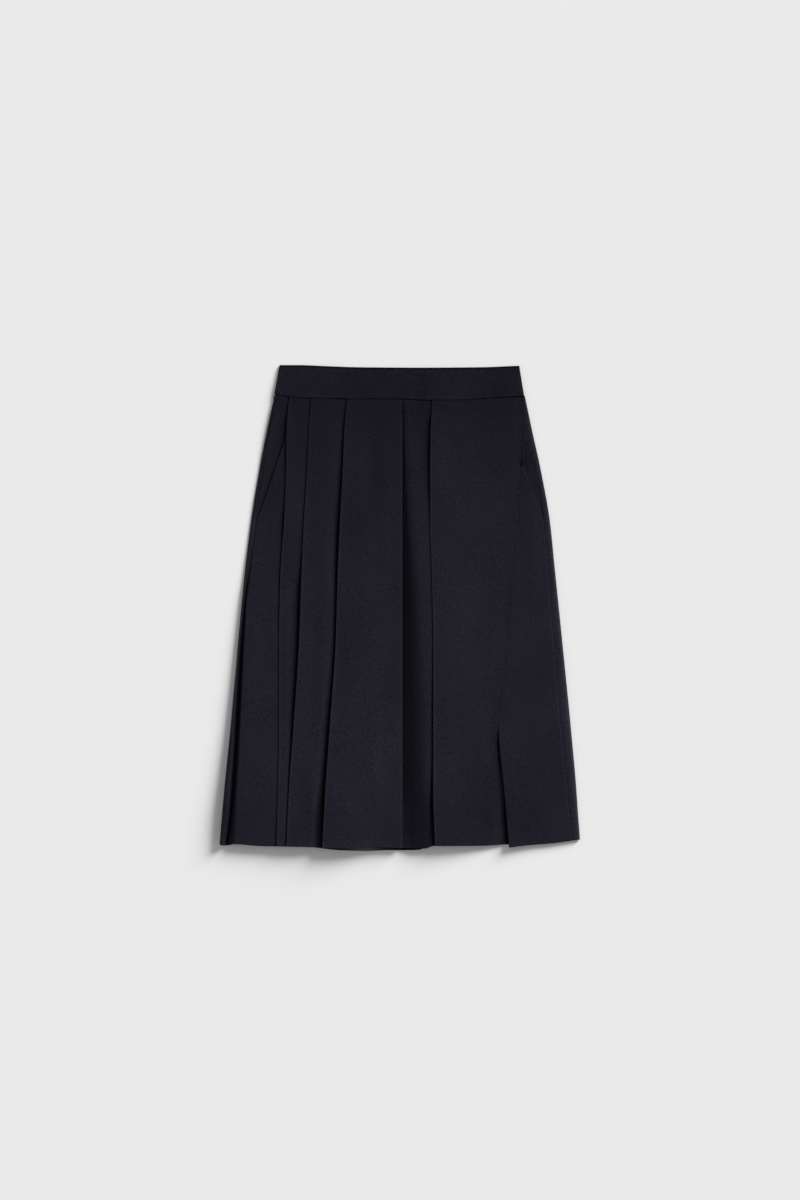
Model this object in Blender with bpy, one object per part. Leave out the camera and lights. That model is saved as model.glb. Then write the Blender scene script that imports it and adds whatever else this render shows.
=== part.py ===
"""Pleated midi skirt in dark navy wool, laid flat on its back with the front up.

The skirt lies in the XY plane: +Y points to the waist, +X to the wearer's left,
and Z = 0 is the surface it lies on.  Every cloth piece is a closed wall that is
lofted through sections across the skirt.  A section is the centre line of the
cloth, and it runs in and out of the pressed pleats.

All lengths below are millimetres; MM turns them into metres.  A "drop" is the
distance down from the waist edge, and an "x" is measured from the centre line.
"""
import math
from typing import NamedTuple

import bpy

MM = 0.001

# --- driving sizes ---------------------------------------------------------
LENGTH = 728.0            # waist edge to the lowest point of the hem
CLOTH = 1.0               # wall of the skirt cloth
BAND_CLOTH = 1.8          # wall of the folded and stiffened waistband
LAYER = 1.5               # rise from one pressed layer of cloth to the next
TURN_RADIUS = LAYER / 2   # centre line of a pressed fold
TURN_STEPS = 3            # straight pieces in a pressed fold
ROLL_STEPS = 4            # and in the wider roll at each side
SEAM_GAP = 0.3            # between two pieces that are sewn together
REST = CLOTH / 2          # centre line of cloth that lies on the surface
FIRST = REST + LAYER      # centre line of the next layer up
SEAM_DROP = 48.0          # mean drop of the waistband seam
HEM_DROP = 721.5          # mean drop of the front hem
EASE = 60.0               # length over which a curved seam or hem evens out
EDGE_RADIUS = 0.6         # a cloth edge that is turned down
EDGE_DEPTH = 1.0          # from the cloth's centre line to the end of that edge
BOX_FOLD = 5.4            # x of the straight fold that faces the box pleat's bed
LIFT_START = 330.0        # from here down the front stands more and more off the back
LIFT_POWER = 1.6          # and how slowly that begins
VALLEY_START = 345.0      # from here down the front's left edge dips to the side seam,
VALLEY_RAMP = 60.0        # fully after this length,
VALLEY_GAP = 0.5          # and ends this far above the back
VALLEY_RADIUS = 2.0

POCKET_END = 231.0        # lower end of both pocket mouths
POCKET_TOP = 108.0        # where the left mouth comes out from under its pleat
LEFT_MOUTH_TOP = -168.6   # x of the left mouth there, and its slant
LEFT_MOUTH_SLOPE = -0.351
MOUTH_HIDDEN_RUN = 60.0   # length of the left mouth that its pleat covers
MOUTH_UNDERLAY = 5.0      # hip piece under the edge of the left mouth
UNDERLAY_START = 92.0     # the underlay grows from here, over its own ramp
UNDERLAY_RAMP = 12.0
SIDE_TOP = 152.0          # upper end of the right mouth
RIGHT_MOUTH_TOP = 185.9   # x of the right mouth there, and its slant
RIGHT_MOUTH_SLOPE = 0.385
RIGHT_UNDERLAY = 14.0     # hip piece under the edge of the right mouth
KICK_TOP = 543.0          # top of the kick pleat
KICK_PARTING = 13.0       # length over which its flap rises off its underlay
KICK_RAMP = 14.0          # and over which the underlay reaches its full width
KICK_UNDERLAY = 20.0      # cloth of the kick pleat under its flap


DROPS = (48.0, 66.0, 80.0, 92.0, 104.0, 136.0, 152.0, 160.0, 190.0, 225.0, 231.0, 234.0, 255.0,
         312.0, 330.0, 345.0, 400.0, 470.0, 543.0, 556.0, 570.0, 620.0, 670.0, 721.5)


class Line(NamedTuple):
    """Where each edge, seam and fold lies across the skirt, at one drop."""
    drop: float
    left: float
    left_seam: float
    pleat_1: float
    pleat_2: float
    pleat_3: float
    box_edge: float
    princess: float
    right_seam: float
    right: float


LINES = (
    Line(48.0, -187.8, -184.3, -165.6, -132.6, -78.6, 48.9, 182.8, 185.3, 188.0),
    Line(97.5, -199.3, -194.8, -169.2, -135.9, -82.8, 46.7, 184.2, 193.7, 198.2),
    Line(157.5, -210.9, -205.3, -170.1, -138.6, -85.2, 45.9, 181.0, 206.2, 211.2),
    Line(232.5, -223.0, -212.8, -173.1, -143.4, -89.4, 45.9, 177.9, 216.0, 224.6),
    Line(307.5, -231.7, -224.1, -178.3, -147.9, -93.6, 48.2, 169.2, 222.2, 232.2),
    Line(412.5, -242.2, -234.3, -180.6, -150.6, -96.6, 50.4, 162.9, 230.7, 243.0),
    Line(543.0, -254.4, -240.3, -180.6, -159.6, -104.4, 50.4, 148.5, 241.7, 256.1),
    Line(637.5, -263.4, -247.8, -182.1, -165.6, -111.6, 50.4, 156.9, 251.4, 264.5),
    Line(721.5, -269.8, -255.9, -184.3, -169.3, -114.6, 53.1, 164.4, 258.2, 270.0),
)


class Rise(NamedTuple):
    """Heights along the skirt: centre lines of edges, and how far folds stand open."""
    drop: float
    front_edge: float     # left edge of the pleated front
    under_1: float        # the front where pleat 1 lies on it
    inner_1: float        # the hidden fold of pleat 1
    open_1: float         # how far each fold's edge stands open
    open_2: float
    open_3: float
    open_box: float
    bed: float            # crest of the box pleat's bed
    princess: float       # pleated front at the princess seam
    side_edge: float      # front side at the princess seam


RISES = (
    Rise(48.0, 2.5, 2.5, 2.2, 0.1, 0.2, 0.2, 0.2, 2.4, 2.5, 3.4),
    Rise(80.0, 2.5, 2.5, 2.4, 0.3, 0.4, 0.5, 2.3, 2.6, 2.7, 3.4),
    Rise(92.0, 3.9, 3.9, 3.2, 0.1, 0.4, 0.6, 2.4, 2.6, 2.8, 3.4),
    Rise(136.0, 3.9, 3.8, 3.0, 0.2, 0.6, 0.8, 2.5, 2.8, 3.2, 3.4),
    Rise(160.0, 3.9, 2.6, 2.2, 0.8, 0.7, 0.9, 2.5, 2.8, 3.4, 3.4),
    Rise(234.0, 3.9, 2.4, 2.0, 0.8, 0.8, 1.0, 2.4, 3.0, 3.4, 3.4),
    Rise(255.0, 3.2, 2.4, 2.0, 0.7, 0.8, 1.0, 1.4, 3.0, 3.4, 3.4),
    Rise(312.0, 3.2, 2.4, 2.0, 0.5, 1.0, 1.1, 0.6, 2.8, 3.4, 3.4),
    Rise(330.0, 4.2, 2.4, 2.0, 0.5, 1.0, 1.1, 0.5, 2.8, 3.4, 3.4),
    Rise(543.0, 4.6, 2.4, 2.0, 0.3, 1.1, 1.3, 0.7, 2.8, 3.4, 3.4),
    Rise(556.0, 4.6, 2.4, 2.0, 0.3, 1.1, 1.3, 0.7, 2.8, 2.7, 4.8),
    Rise(721.5, 5.0, 2.6, 2.0, 0.5, 0.4, 2.2, 1.0, 2.6, 2.7, 5.2),
)


class Depth(NamedTuple):
    """How far the cloth of each pleat runs back under its panel."""
    drop: float
    pleat_1: float
    pleat_2: float
    pleat_3: float
    box_fold: float
    box_edge: float


DEPTHS = (
    Depth(48.0, 13.0, 20.0, 24.0, 22.0, 22.0),
    Depth(543.0, 11.0, 24.0, 28.0, 26.0, 28.0),
    Depth(721.5, 9.0, 26.0, 30.0, 28.0, 30.0),
)


class Roll(NamedTuple):
    """The back panel where it rolls round the two sides to the side seams."""
    drop: float
    left_radius: float
    left_end: float       # height of the cloth at the left side seam
    left_tuck: float      # how far it goes on past the seam, under the front's edge
    right_radius: float
    right_end: float


ROLLS = (
    Roll(48.0, 1.2, 2.6, -SEAM_GAP / 2, 1.2, 2.8),
    Roll(157.5, 1.3, 2.2, -SEAM_GAP / 2, 1.4, 3.0),
    Roll(225.0, 1.4, 2.0, -SEAM_GAP / 2, 1.6, 3.2),
    Roll(312.0, 1.5, 2.0, -SEAM_GAP / 2, 1.8, 3.6),
    Roll(330.0, 1.6, 2.0, -SEAM_GAP / 2, 1.8, 3.6),
    Roll(345.0, 1.7, 2.0, 6.0, 1.8, 3.6),
    Roll(470.0, 2.7, 2.2, 6.6, 1.9, 3.8),
    Roll(543.0, 3.6, 2.4, 7.0, 2.0, 4.0),
    Roll(620.0, 4.5, 2.7, 7.5, 2.0, 4.1),
    Roll(721.5, 5.0, 3.0, 8.0, 2.1, 4.2),
)


class Lift(NamedTuple):
    """How far the front's hem stands off the back, at one x."""
    x: float
    height: float


HEM_LIFT = (
    Lift(-256.0, 4.6), Lift(-230.0, 5.2), Lift(-185.0, 5.8), Lift(-130.0, 7.2),
    Lift(-95.0, 8.6), Lift(-62.0, 7.6), Lift(-25.0, 5.2), Lift(5.0, 3.6),
    Lift(36.0, 1.4), Lift(50.0, 2.8), Lift(64.0, 4.6), Lift(84.0, 3.8),
    Lift(120.0, 0.5), Lift(150.0, 0.4), Lift(170.0, 1.3), Lift(200.0, 0.7),
    Lift(245.0, 0.2),
)


class Curve(NamedTuple):
    """One point of a seam or hem: its drop at one x."""
    x: float
    drop: float


WAIST_TOP = (
    Curve(-180.0, 0.2), Curve(-150.0, 0.2), Curve(-104.0, 2.0), Curve(-59.0, 3.4),
    Curve(31.0, 4.0), Curve(121.0, 3.4), Curve(180.0, 1.2),
)
WAIST_SEAM = (
    Curve(-188.0, 43.0), Curve(-166.0, 46.7), Curve(-137.0, 49.4), Curve(-80.0, 50.2),
    Curve(0.0, 50.8), Curve(45.0, 51.8), Curve(86.0, 51.6), Curve(145.0, 48.6),
    Curve(188.0, 46.0),
)
FRONT_HEM = (
    Curve(-256.0, 718.8), Curve(-239.0, 719.6), Curve(-209.0, 722.1), Curve(-149.0, 723.4),
    Curve(-81.6, 724.6), Curve(3.9, 725.4), Curve(38.0, 725.4), Curve(52.0, 721.8),
    Curve(121.0, 721.8), Curve(162.0, 719.7), Curve(190.0, 718.6),
)
SIDE_HEM = (
    Curve(164.0, 723.6), Curve(196.0, 720.0), Curve(226.0, 717.8), Curve(258.0, 713.8),
)
BACK_HEM = (
    Curve(-270.0, 718.8), Curve(-260.0, 720.6), Curve(-240.0, 717.6), Curve(-149.0, 721.6),
    Curve(-92.0, 726.8), Curve(-51.0, 727.9), Curve(-14.0, 726.4), Curve(31.0, 722.0),
    Curve(151.0, 716.5), Curve(258.0, 713.4), Curve(270.0, 712.0),
)


# --- reading the tables -----------------------------------------------------
def between(rows, key, at, value):
    """The value at one place, along straight lines from row to row."""
    first, last = rows[0], rows[-1]
    if getattr(first, key) >= at:
        return getattr(first, value)
    for low, high in zip(rows, rows[1:]):
        if getattr(high, key) >= at:
            share = (at - getattr(low, key)) / (getattr(high, key) - getattr(low, key))
            return getattr(low, value) + share * (getattr(high, value) - getattr(low, value))
    return getattr(last, value)


def line(drop, name):
    """The x of a named edge, seam or fold, on a smooth curve through its rows."""
    drops = [row.drop for row in LINES]
    values = [getattr(row, name) for row in LINES]
    at = min(max(drop, drops[0]), drops[-1])
    spot = max(i for i in range(len(drops) - 1) if drops[i] <= at or i == 0)
    slopes = []
    for i in (spot, spot + 1):
        low, high = max(i - 1, 0), min(i + 1, len(drops) - 1)
        slopes.append((values[high] - values[low]) / (drops[high] - drops[low]))
    span = drops[spot + 1] - drops[spot]
    t = (at - drops[spot]) / span
    return ((2 * t ** 3 - 3 * t ** 2 + 1) * values[spot]
            + (t ** 3 - 2 * t ** 2 + t) * span * slopes[0]
            + (3 * t ** 2 - 2 * t ** 3) * values[spot + 1]
            + (t ** 3 - t ** 2) * span * slopes[1])


def rise(drop, name):
    return between(RISES, "drop", drop, name)


def depth(drop, name):
    return between(DEPTHS, "drop", drop, name)


def roll(drop, name):
    return between(ROLLS, "drop", drop, name)


def lift(x, drop):
    """How far the front stands off the back at one place."""
    share = ramp(drop, LIFT_START, HEM_DROP - LIFT_START) ** LIFT_POWER
    return share * between(HEM_LIFT, "x", x, "height")


def lifted(points, drop):
    return [(x, z + lift(x, drop)) for x, z in points]


def left_mouth(drop):
    """The left pocket mouth: hidden beside pleat 1, then slanting to the side seam."""
    if drop < POCKET_TOP:
        return line(drop, "pleat_1") + 1.0 + 2.0 * (POCKET_TOP - drop) / MOUTH_HIDDEN_RUN
    return LEFT_MOUTH_TOP + LEFT_MOUTH_SLOPE * (drop - POCKET_TOP)


def right_mouth(drop):
    """The right pocket mouth: slanting from the princess seam to the side seam."""
    return RIGHT_MOUTH_TOP + RIGHT_MOUTH_SLOPE * (drop - SIDE_TOP)


def ramp(drop, start, length):
    """0 down to the start, then evenly up to 1 over the length."""
    return min(max((drop - start) / length, 0.0), 1.0)


# --- the sections -----------------------------------------------------------
def turn(x, z_from, z_to, side, steps=TURN_STEPS):
    """A fold: a half circle between two layers that bulges to one side."""
    middle, radius = (z_from + z_to) / 2, (z_to - z_from) / 2
    points = []
    for step in range(steps + 1):
        angle = math.pi * step / steps
        points.append((x + side * abs(radius) * math.sin(angle), middle - radius * math.cos(angle)))
    return points


def edge_down(x, z, inward, depth=EDGE_DEPTH, radius=EDGE_RADIUS):
    """The turned-down end of a panel, from its tip to the flat cloth."""
    inset = CLOTH / 2
    return [
        (x + inward * inset, z - depth),
        (x + inward * inset, z - radius),
        (x + inward * (inset + 0.29 * radius), z - 0.29 * radius),
        (x + inward * (inset + radius), z),
    ]


def valley(drop, x, edge_z):
    """Depth and radius of the front's left edge, which dips to the side seam."""
    dip = ramp(drop, VALLEY_START, VALLEY_RAMP)
    floor = roll(drop, "left_end") + CLOTH / 2 + VALLEY_GAP
    full = max(edge_z + lift(x, drop) - floor, EDGE_DEPTH)
    return (EDGE_DEPTH + dip * (full - EDGE_DEPTH),
            EDGE_RADIUS + dip * (min(VALLEY_RADIUS, 0.5 * full) - EDGE_RADIUS))


def knife_pleat(drop, name, under, inner, opening, start=-math.inf):
    """The two folds of a pleat: back under its panel, then out to the edge."""
    edge = line(drop, name) + CLOTH / 2 + TURN_RADIUS
    hidden = line(drop, name) + depth(drop, name)
    low = under + LAYER + opening
    return ([(max(edge, start), under)] + turn(hidden, inner, inner + LAYER, 1)
            + turn(edge, low, low + LAYER, -1))


def front_section(drop):
    """The pleated front, from its left edge to the princess seam."""
    left = left_mouth(drop) if drop < POCKET_END else line(drop, "left_seam") + SEAM_GAP / 2
    edge_z = rise(drop, "front_edge")
    fold = {name: line(drop, name) for name in ("pleat_1", "pleat_2", "pleat_3", "box_edge")}
    back = {name: depth(drop, name) for name in ("pleat_1", "pleat_2", "pleat_3", "box_edge")}
    under_1, inner_1 = rise(drop, "under_1"), rise(drop, "inner_1")
    free_2 = fold["pleat_2"] - fold["pleat_1"] - back["pleat_1"]
    top_1 = inner_1 + 2 * LAYER
    under_2 = max(FIRST, top_1 - 0.14 * free_2)
    full = FIRST + 2 * LAYER
    points = edge_down(left, edge_z, 1, *valley(drop, left, edge_z))
    start = left + 3.0
    near = max(start, left * 0.7 + fold["pleat_1"] * 0.3)
    points.append((near, edge_z * 0.8 + under_1 * 0.2))
    points += knife_pleat(drop, "pleat_1", under_1, inner_1, rise(drop, "open_1"), near + 2.0)
    points.append((fold["pleat_1"] + back["pleat_1"] + 1.5, top_1 + 0.1))
    points += knife_pleat(drop, "pleat_2", under_2, FIRST, rise(drop, "open_2"))
    points.append((fold["pleat_2"] + back["pleat_2"] + 1.5, full + 0.1))
    points.append((fold["pleat_3"] - 10.0, FIRST + 1.2))
    points += knife_pleat(drop, "pleat_3", FIRST + 0.4, FIRST, rise(drop, "open_3"))
    points.append((fold["pleat_3"] + back["pleat_3"] + 1.5, full + 0.1))
    bay = BOX_FOLD - depth(drop, "box_fold")
    points.append((fold["pleat_3"] * 0.5 + bay * 0.5 + 12.0, full - 0.5))
    points.append((bay - 4.0, full))
    edge = BOX_FOLD - CLOTH / 2 - TURN_RADIUS
    points += turn(edge, full, full - LAYER, 1)
    points += turn(bay, full - LAYER, full - 2 * LAYER, -1)
    points.append((BOX_FOLD - 1.0, FIRST))
    points.append((fold["box_edge"] - 22.0, FIRST + 0.2))
    points.append((fold["box_edge"] - 9.0, rise(drop, "bed")))
    points += knife_pleat(drop, "box_edge", FIRST, FIRST, rise(drop, "open_box"))
    end = line(drop, "princess") - SEAM_GAP / 2
    end += (KICK_UNDERLAY + SEAM_GAP) * ramp(drop, KICK_TOP + KICK_PARTING, KICK_RAMP)
    end_z = rise(drop, "princess")
    points.append((fold["box_edge"] + back["box_edge"] + 1.5, full + 0.2))
    start = fold["box_edge"] + back["box_edge"]
    visible = line(drop, "princess")
    points.append((start * 0.6 + visible * 0.4, full - 0.3))
    points.append((start * 0.25 + visible * 0.75, 0.5 * full + 0.5 * max(end_z, 3.4)))
    points.append((visible - 3.0, end_z + 0.15))
    return lifted(points + list(reversed(edge_down(end, end_z, -1))), drop)


def side_section(drop):
    """The front side, from the princess seam or kick pleat to its right edge."""
    left, left_z = line(drop, "princess") + SEAM_GAP / 2, rise(drop, "side_edge")
    if drop < POCKET_END:
        right = right_mouth(drop)
        right_z = 4.0 + 1.2 * ramp(drop, SIDE_TOP + 36.0, 40.0)
        left_z = left_z + (right_z - left_z) * (1.0 - ramp(drop, SIDE_TOP, 30.0))
    else:
        right = line(drop, "right_seam") - SEAM_GAP / 2
        right_z = roll(drop, "right_end") + 0.2 + 2.0 * (1.0 - ramp(drop, POCKET_END, 25.0))
    points = edge_down(left, left_z, 1)
    inset = CLOTH / 2 + EDGE_RADIUS
    for share in (0.3, 0.7):
        x = (left + inset) * (1 - share) + (right - inset) * share
        points.append((x, left_z * (1 - share) + right_z * share))
    return lifted(points + list(reversed(edge_down(right, right_z, -1))), drop)


BACK_SHARES = (0.06, 0.14, 0.24, 0.34, 0.42, 0.5, 0.6, 0.7, 0.8, 0.9)


def back_section(drop):
    """The back, from the left side seam round under the skirt to the right one."""
    left, right = line(drop, "left"), line(drop, "right")
    left_radius, right_radius = roll(drop, "left_radius"), roll(drop, "right_radius")
    seam, seam_z = line(drop, "left_seam"), roll(drop, "left_end")
    left_bend = left + CLOTH / 2 + left_radius
    right_bend = right - CLOTH / 2 - right_radius
    crest_left, crest_right = REST + 2 * left_radius, REST + 2 * right_radius
    end = seam + roll(drop, "left_tuck")
    points = [(end, seam_z), (seam - 0.4, seam_z)]
    points.append(((left_bend + seam) / 2, crest_left * 0.6 + seam_z * 0.4))
    points += turn(left_bend, crest_left, REST, -1, ROLL_STEPS)
    for share in BACK_SHARES:
        points.append((left_bend + share * (right_bend - left_bend), REST))
    points += turn(right_bend, REST, crest_right, 1, ROLL_STEPS)
    seam, seam_z = line(drop, "right_seam") + SEAM_GAP / 2, roll(drop, "right_end")
    points.append(((right_bend + seam) / 2, (crest_right + seam_z) / 2))
    return points + [(seam, seam_z)]


def hip_left_section(drop):
    """The left hip piece, from the side seam to just under the pocket mouth."""
    left, left_z = line(drop, "left_seam") + SEAM_GAP / 2, roll(drop, "left_end")
    underlay = (MOUTH_UNDERLAY + SEAM_GAP) * ramp(drop, UNDERLAY_START, UNDERLAY_RAMP)
    right = left_mouth(drop) - SEAM_GAP + underlay
    return [(left + share * (right - left), FIRST + (left_z - FIRST) * (1 - share) ** 2)
            for share in (0.0, 0.25, 0.6, 1.0)]


def hip_right_section(drop):
    """The right hip piece, from the princess seam or under the mouth to the side."""
    right, right_z = line(drop, "right_seam") - SEAM_GAP / 2, roll(drop, "right_end")
    hidden = ramp(drop, SIDE_TOP - 14.0, 10.0)
    left = line(drop, "princess") + SEAM_GAP / 2 + 1.6 * hidden
    left_z = rise(drop, "princess") * (1 - hidden) + FIRST * hidden
    if drop > SIDE_TOP:
        left = max(left, right_mouth(drop) - RIGHT_UNDERLAY)
    low = FIRST + 0.3 * (1 - hidden)
    return [(left, left_z), (left * 0.6 + right * 0.4, low),
            (left * 0.25 + right * 0.75, (low + right_z) / 2), (right, right_z)]


# --- walls ------------------------------------------------------------------
def offset(points, distance):
    """The section moved sideways, square to the cloth at each point."""
    moved = []
    for i, (x, z) in enumerate(points):
        before, after = points[max(i - 1, 0)], points[min(i + 1, len(points) - 1)]
        a = math.atan2(z - before[1], x - before[0]) if i else None
        b = math.atan2(after[1] - z, after[0] - x) if i < len(points) - 1 else None
        a, b = (b if a is None else a), (a if b is None else b)
        half = math.remainder(b - a, math.tau) / 2
        angle, reach = a + half, distance / math.cos(half)
        moved.append((x - reach * math.sin(angle), z + reach * math.cos(angle)))
    return moved


def drop_at(x, drop, top, hem):
    """A row's drop at one x: it bends with the seam above it and the hem below."""
    bent = drop
    if top:
        share = 1.0 - ramp(drop, SEAM_DROP, EASE)
        bent += share * (between(top, "x", x, "drop") + SEAM_GAP - SEAM_DROP)
    if hem:
        share = ramp(drop, HEM_DROP - EASE, EASE)
        bent += share * (between(hem, "x", x, "drop") - HEM_DROP)
    return bent


def wall(name, sections, thickness, place, colour):
    """A closed wall of cloth lofted through its sections, as one object."""
    upper = [[place(x, z, row) for x, z in offset(points, thickness / 2)] for row, points in sections]
    lower = [[place(x, z, row) for x, z in offset(points, -thickness / 2)] for row, points in sections]
    rows, columns = len(sections), len(sections[0][1])
    vertices = [point for grid in (upper, lower) for row in grid for point in row]

    def spot(side, row, column):
        return (side * rows + row) * columns + column

    faces = []
    for i in range(rows - 1):
        for j in range(columns - 1):
            faces.append((spot(0, i, j), spot(0, i + 1, j), spot(0, i + 1, j + 1), spot(0, i, j + 1)))
            faces.append((spot(1, i, j), spot(1, i, j + 1), spot(1, i + 1, j + 1), spot(1, i + 1, j)))
        for j, first, second in ((0, 0, 1), (columns - 1, 1, 0)):
            faces.append((spot(first, i, j), spot(second, i, j),
                          spot(second, i + 1, j), spot(first, i + 1, j)))
    for i, first, second in ((0, 1, 0), (rows - 1, 0, 1)):
        for j in range(columns - 1):
            faces.append((spot(first, i, j), spot(second, i, j),
                          spot(second, i, j + 1), spot(first, i, j + 1)))
    mesh = bpy.data.meshes.new(name)
    mesh.from_pydata(vertices, [], faces)
    mesh.validate()
    mesh.materials.append(cloth_material(name, colour))
    mesh.shade_smooth()
    mesh.set_sharp_from_angle(angle=math.radians(40))
    piece = bpy.data.objects.new(name, mesh)
    bpy.context.scene.collection.objects.link(piece)
    return piece


def cloth_material(name, colour):
    material = bpy.data.materials.new(name + "_wool")
    material.use_nodes = True
    shader = material.node_tree.nodes["Principled BSDF"]
    shader.inputs["Base Color"].default_value = (*colour, 1.0)
    shader.inputs["Roughness"].default_value = 0.9
    shader.inputs["Metallic"].default_value = 0.0
    return material


NAVY = (0.011, 0.0108, 0.018)
NAVY_SHADE = (0.009, 0.0088, 0.015)


def panel(name, section, first=SEAM_DROP, last=HEM_DROP, hem=(), colour=NAVY):
    """A skirt panel, lofted down its drops, with its top and hem bent to their curves."""
    def place(x, z, drop):
        return (x * MM, (LENGTH / 2 - drop_at(x, drop, WAIST_SEAM, hem)) * MM, z * MM)

    sections = [(drop, section(drop)) for drop in DROPS if first <= drop <= last]
    return wall(name, sections, CLOTH, place, colour)


# --- the waistband ----------------------------------------------------------
BAND_BEND = 0.95          # centre line of the band where it turns round a side
BAND_MEET = 2.2           # height at which the two halves of the band meet
BAND_TOP_Z = 3.6          # centre line of the front half at the waist edge
BAND_LOW_Z = 4.9          # and at the seam, over the ends of the pleats
BAND_BACK_LEDGE = 1.2     # the back half shows this much above the front half
BAND_WIDTHS = (0.0, 0.07, 0.2, 0.35, 0.5, 0.65, 0.8, 0.93, 1.0)
BAND_ROWS = (0.0, 0.5, 1.0)
BAND_LEFT = (-180.0, -187.6)    # x of the band's left side, at the waist edge and seam
BAND_RIGHT = (180.0, 187.2)


def band_section(share, z, end_z):
    """Across one half of the band, with both ends turned to meet the other half."""
    left = BAND_LEFT[0] + share * (BAND_LEFT[1] - BAND_LEFT[0]) + BAND_CLOTH / 2
    right = BAND_RIGHT[0] + share * (BAND_RIGHT[1] - BAND_RIGHT[0]) - BAND_CLOTH / 2
    way = 1.0 if z > end_z else -1.0
    points = [(left, end_z), (left, z - way * BAND_BEND)]
    for angle in (30.0, 60.0):
        a = math.radians(angle)
        points.append((left + BAND_BEND * (1 - math.cos(a)), z - way * BAND_BEND * (1 - math.sin(a))))
    for width in BAND_WIDTHS:
        points.append((left + BAND_BEND + width * (right - left - 2 * BAND_BEND), z))
    for angle in (60.0, 30.0):
        a = math.radians(angle)
        points.append((right - BAND_BEND * (1 - math.cos(a)), z - way * BAND_BEND * (1 - math.sin(a))))
    return points + [(right, z - way * BAND_BEND), (right, end_z)]


def band(name, z_top, z_low, meet, ledge, colour=NAVY):
    """One half of the waistband, from the waist edge down to its seam."""
    def place(x, z, share):
        upper = between(WAIST_TOP, "x", x, "drop") + ledge
        lower = between(WAIST_SEAM, "x", x, "drop") - SEAM_GAP / 2
        return (x * MM, (LENGTH / 2 - upper - share * (lower - upper)) * MM, z * MM)

    sections = [(share, band_section(share, z_top + share * (z_low - z_top), meet))
                for share in BAND_ROWS]
    return wall(name, sections, BAND_CLOTH, place, colour)


# --- the skirt --------------------------------------------------------------
def build_skirt():
    for old in list(bpy.data.objects):
        bpy.data.objects.remove(old, do_unlink=True)
    panel("back_panel", back_section, hem=BACK_HEM, colour=NAVY_SHADE)
    panel("hip_left", hip_left_section, last=POCKET_END - 6.0)
    panel("hip_right", hip_right_section, last=POCKET_END - 6.0)
    panel("front_pleated", front_section, hem=FRONT_HEM)
    panel("front_side", side_section, first=SIDE_TOP, hem=SIDE_HEM)
    band("waistband_back", BAND_CLOTH / 2, BAND_CLOTH / 2, BAND_MEET - SEAM_GAP / 2, 0.0, NAVY_SHADE)
    band("waistband_front", BAND_TOP_Z, BAND_LOW_Z, BAND_MEET + SEAM_GAP / 2, BAND_BACK_LEDGE)


build_skirt()
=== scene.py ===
"""Pleated midi skirt in dark navy worsted wool, laid flat on its back with the front up.

The skirt lies in the XY plane: +Y points to the waist, +X to the wearer's left, and
Z = 0 is the surface under it.  Every piece of cloth is a thin shell that starts as a
grid.  The grid's columns run across the cloth, in and out of its pleats, and its rows
run down the skirt.

Lengths are millimetres, and MM turns them into metres.  A "drop" is the distance down
from the waist edge, an "x" is measured from the centre line, and a "height" is that of
the middle of the cloth above the surface.
"""
import logging
import math
from bisect import bisect_left
from collections.abc import Callable
from dataclasses import dataclass
from enum import Enum
from typing import Generic, NamedTuple, TypeVar

import bmesh
import bpy
from mathutils import Euler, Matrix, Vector


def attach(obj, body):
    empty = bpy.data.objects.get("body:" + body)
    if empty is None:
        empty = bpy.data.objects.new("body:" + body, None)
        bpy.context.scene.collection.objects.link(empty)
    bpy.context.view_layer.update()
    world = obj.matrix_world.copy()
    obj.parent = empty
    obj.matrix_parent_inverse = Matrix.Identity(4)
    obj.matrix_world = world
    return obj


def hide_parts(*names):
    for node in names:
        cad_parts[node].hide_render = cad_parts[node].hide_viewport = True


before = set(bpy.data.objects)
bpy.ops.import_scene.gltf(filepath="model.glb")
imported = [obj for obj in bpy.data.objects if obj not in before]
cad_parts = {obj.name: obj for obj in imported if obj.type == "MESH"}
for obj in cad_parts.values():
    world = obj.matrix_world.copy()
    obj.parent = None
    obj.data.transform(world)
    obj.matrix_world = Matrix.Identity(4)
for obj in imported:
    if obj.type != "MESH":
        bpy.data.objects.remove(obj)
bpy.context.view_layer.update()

log = logging.getLogger("skirt")

MM = 0.001
BODY = "root"

LENGTH = 728.0  # waist edge to the lowest point of the hem
SEAM_DROP = 48.0  # mean drop of the waistband seam
HEM_DROP = 721.5  # mean drop of the front hem
EASE = 60.0  # length over which a curved seam or hem evens out
CLOTH = 0.45  # thickness of the pressed wool
LAYER = 0.62  # rise from one pressed layer of cloth to the next
REST = 0.35  # height of the cloth that lies on the surface
BOX_FOLD = 4.4  # x of the straight fold that faces the box pleat's bed
SEAM_GAP = 0.1
END_ROWS = (0.0, 0.5, 1.2, 2.6, 5.0)  # how far the rows near a piece's end are from it
LEVEL = (1.0, 0.0)  # the way of a section where it runs level to the right

POCKET_END = 231.0  # lower end of both pocket mouths
POCKET_TOP = 101.0  # where the left mouth comes out from under its pleat
SIDE_TOP = 152.0  # upper end of the right mouth
KICK_TOP = 543.0  # top of the kick pleat
KICK_UNDERLAY = 20.0  # cloth of the kick pleat under its flap
MARKS = (POCKET_TOP, SIDE_TOP, POCKET_END, KICK_TOP, KICK_TOP + 3.0)  # each gets a row

PAINTED_SHADE_DEPTH = 0.92  # share of the cloth's colour that the painted shade takes away at its darkest
DARKEST = 0.02  # and the share that it always keeps
SHADE_REACH = 0.8  # how far the painted shade under the band's edge reaches

Row = TypeVar("Row")
Tree = bpy.types.ShaderNodeTree
Socket = bpy.types.NodeSocket
Inputs = dict[str | int, object]
Colour = tuple[float, float, float]
Run = tuple[float, float]  # the drop where a change starts, and the length it takes
Spread = tuple[float, float]  # the drop where a light or shade is strongest, and its reach

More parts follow.
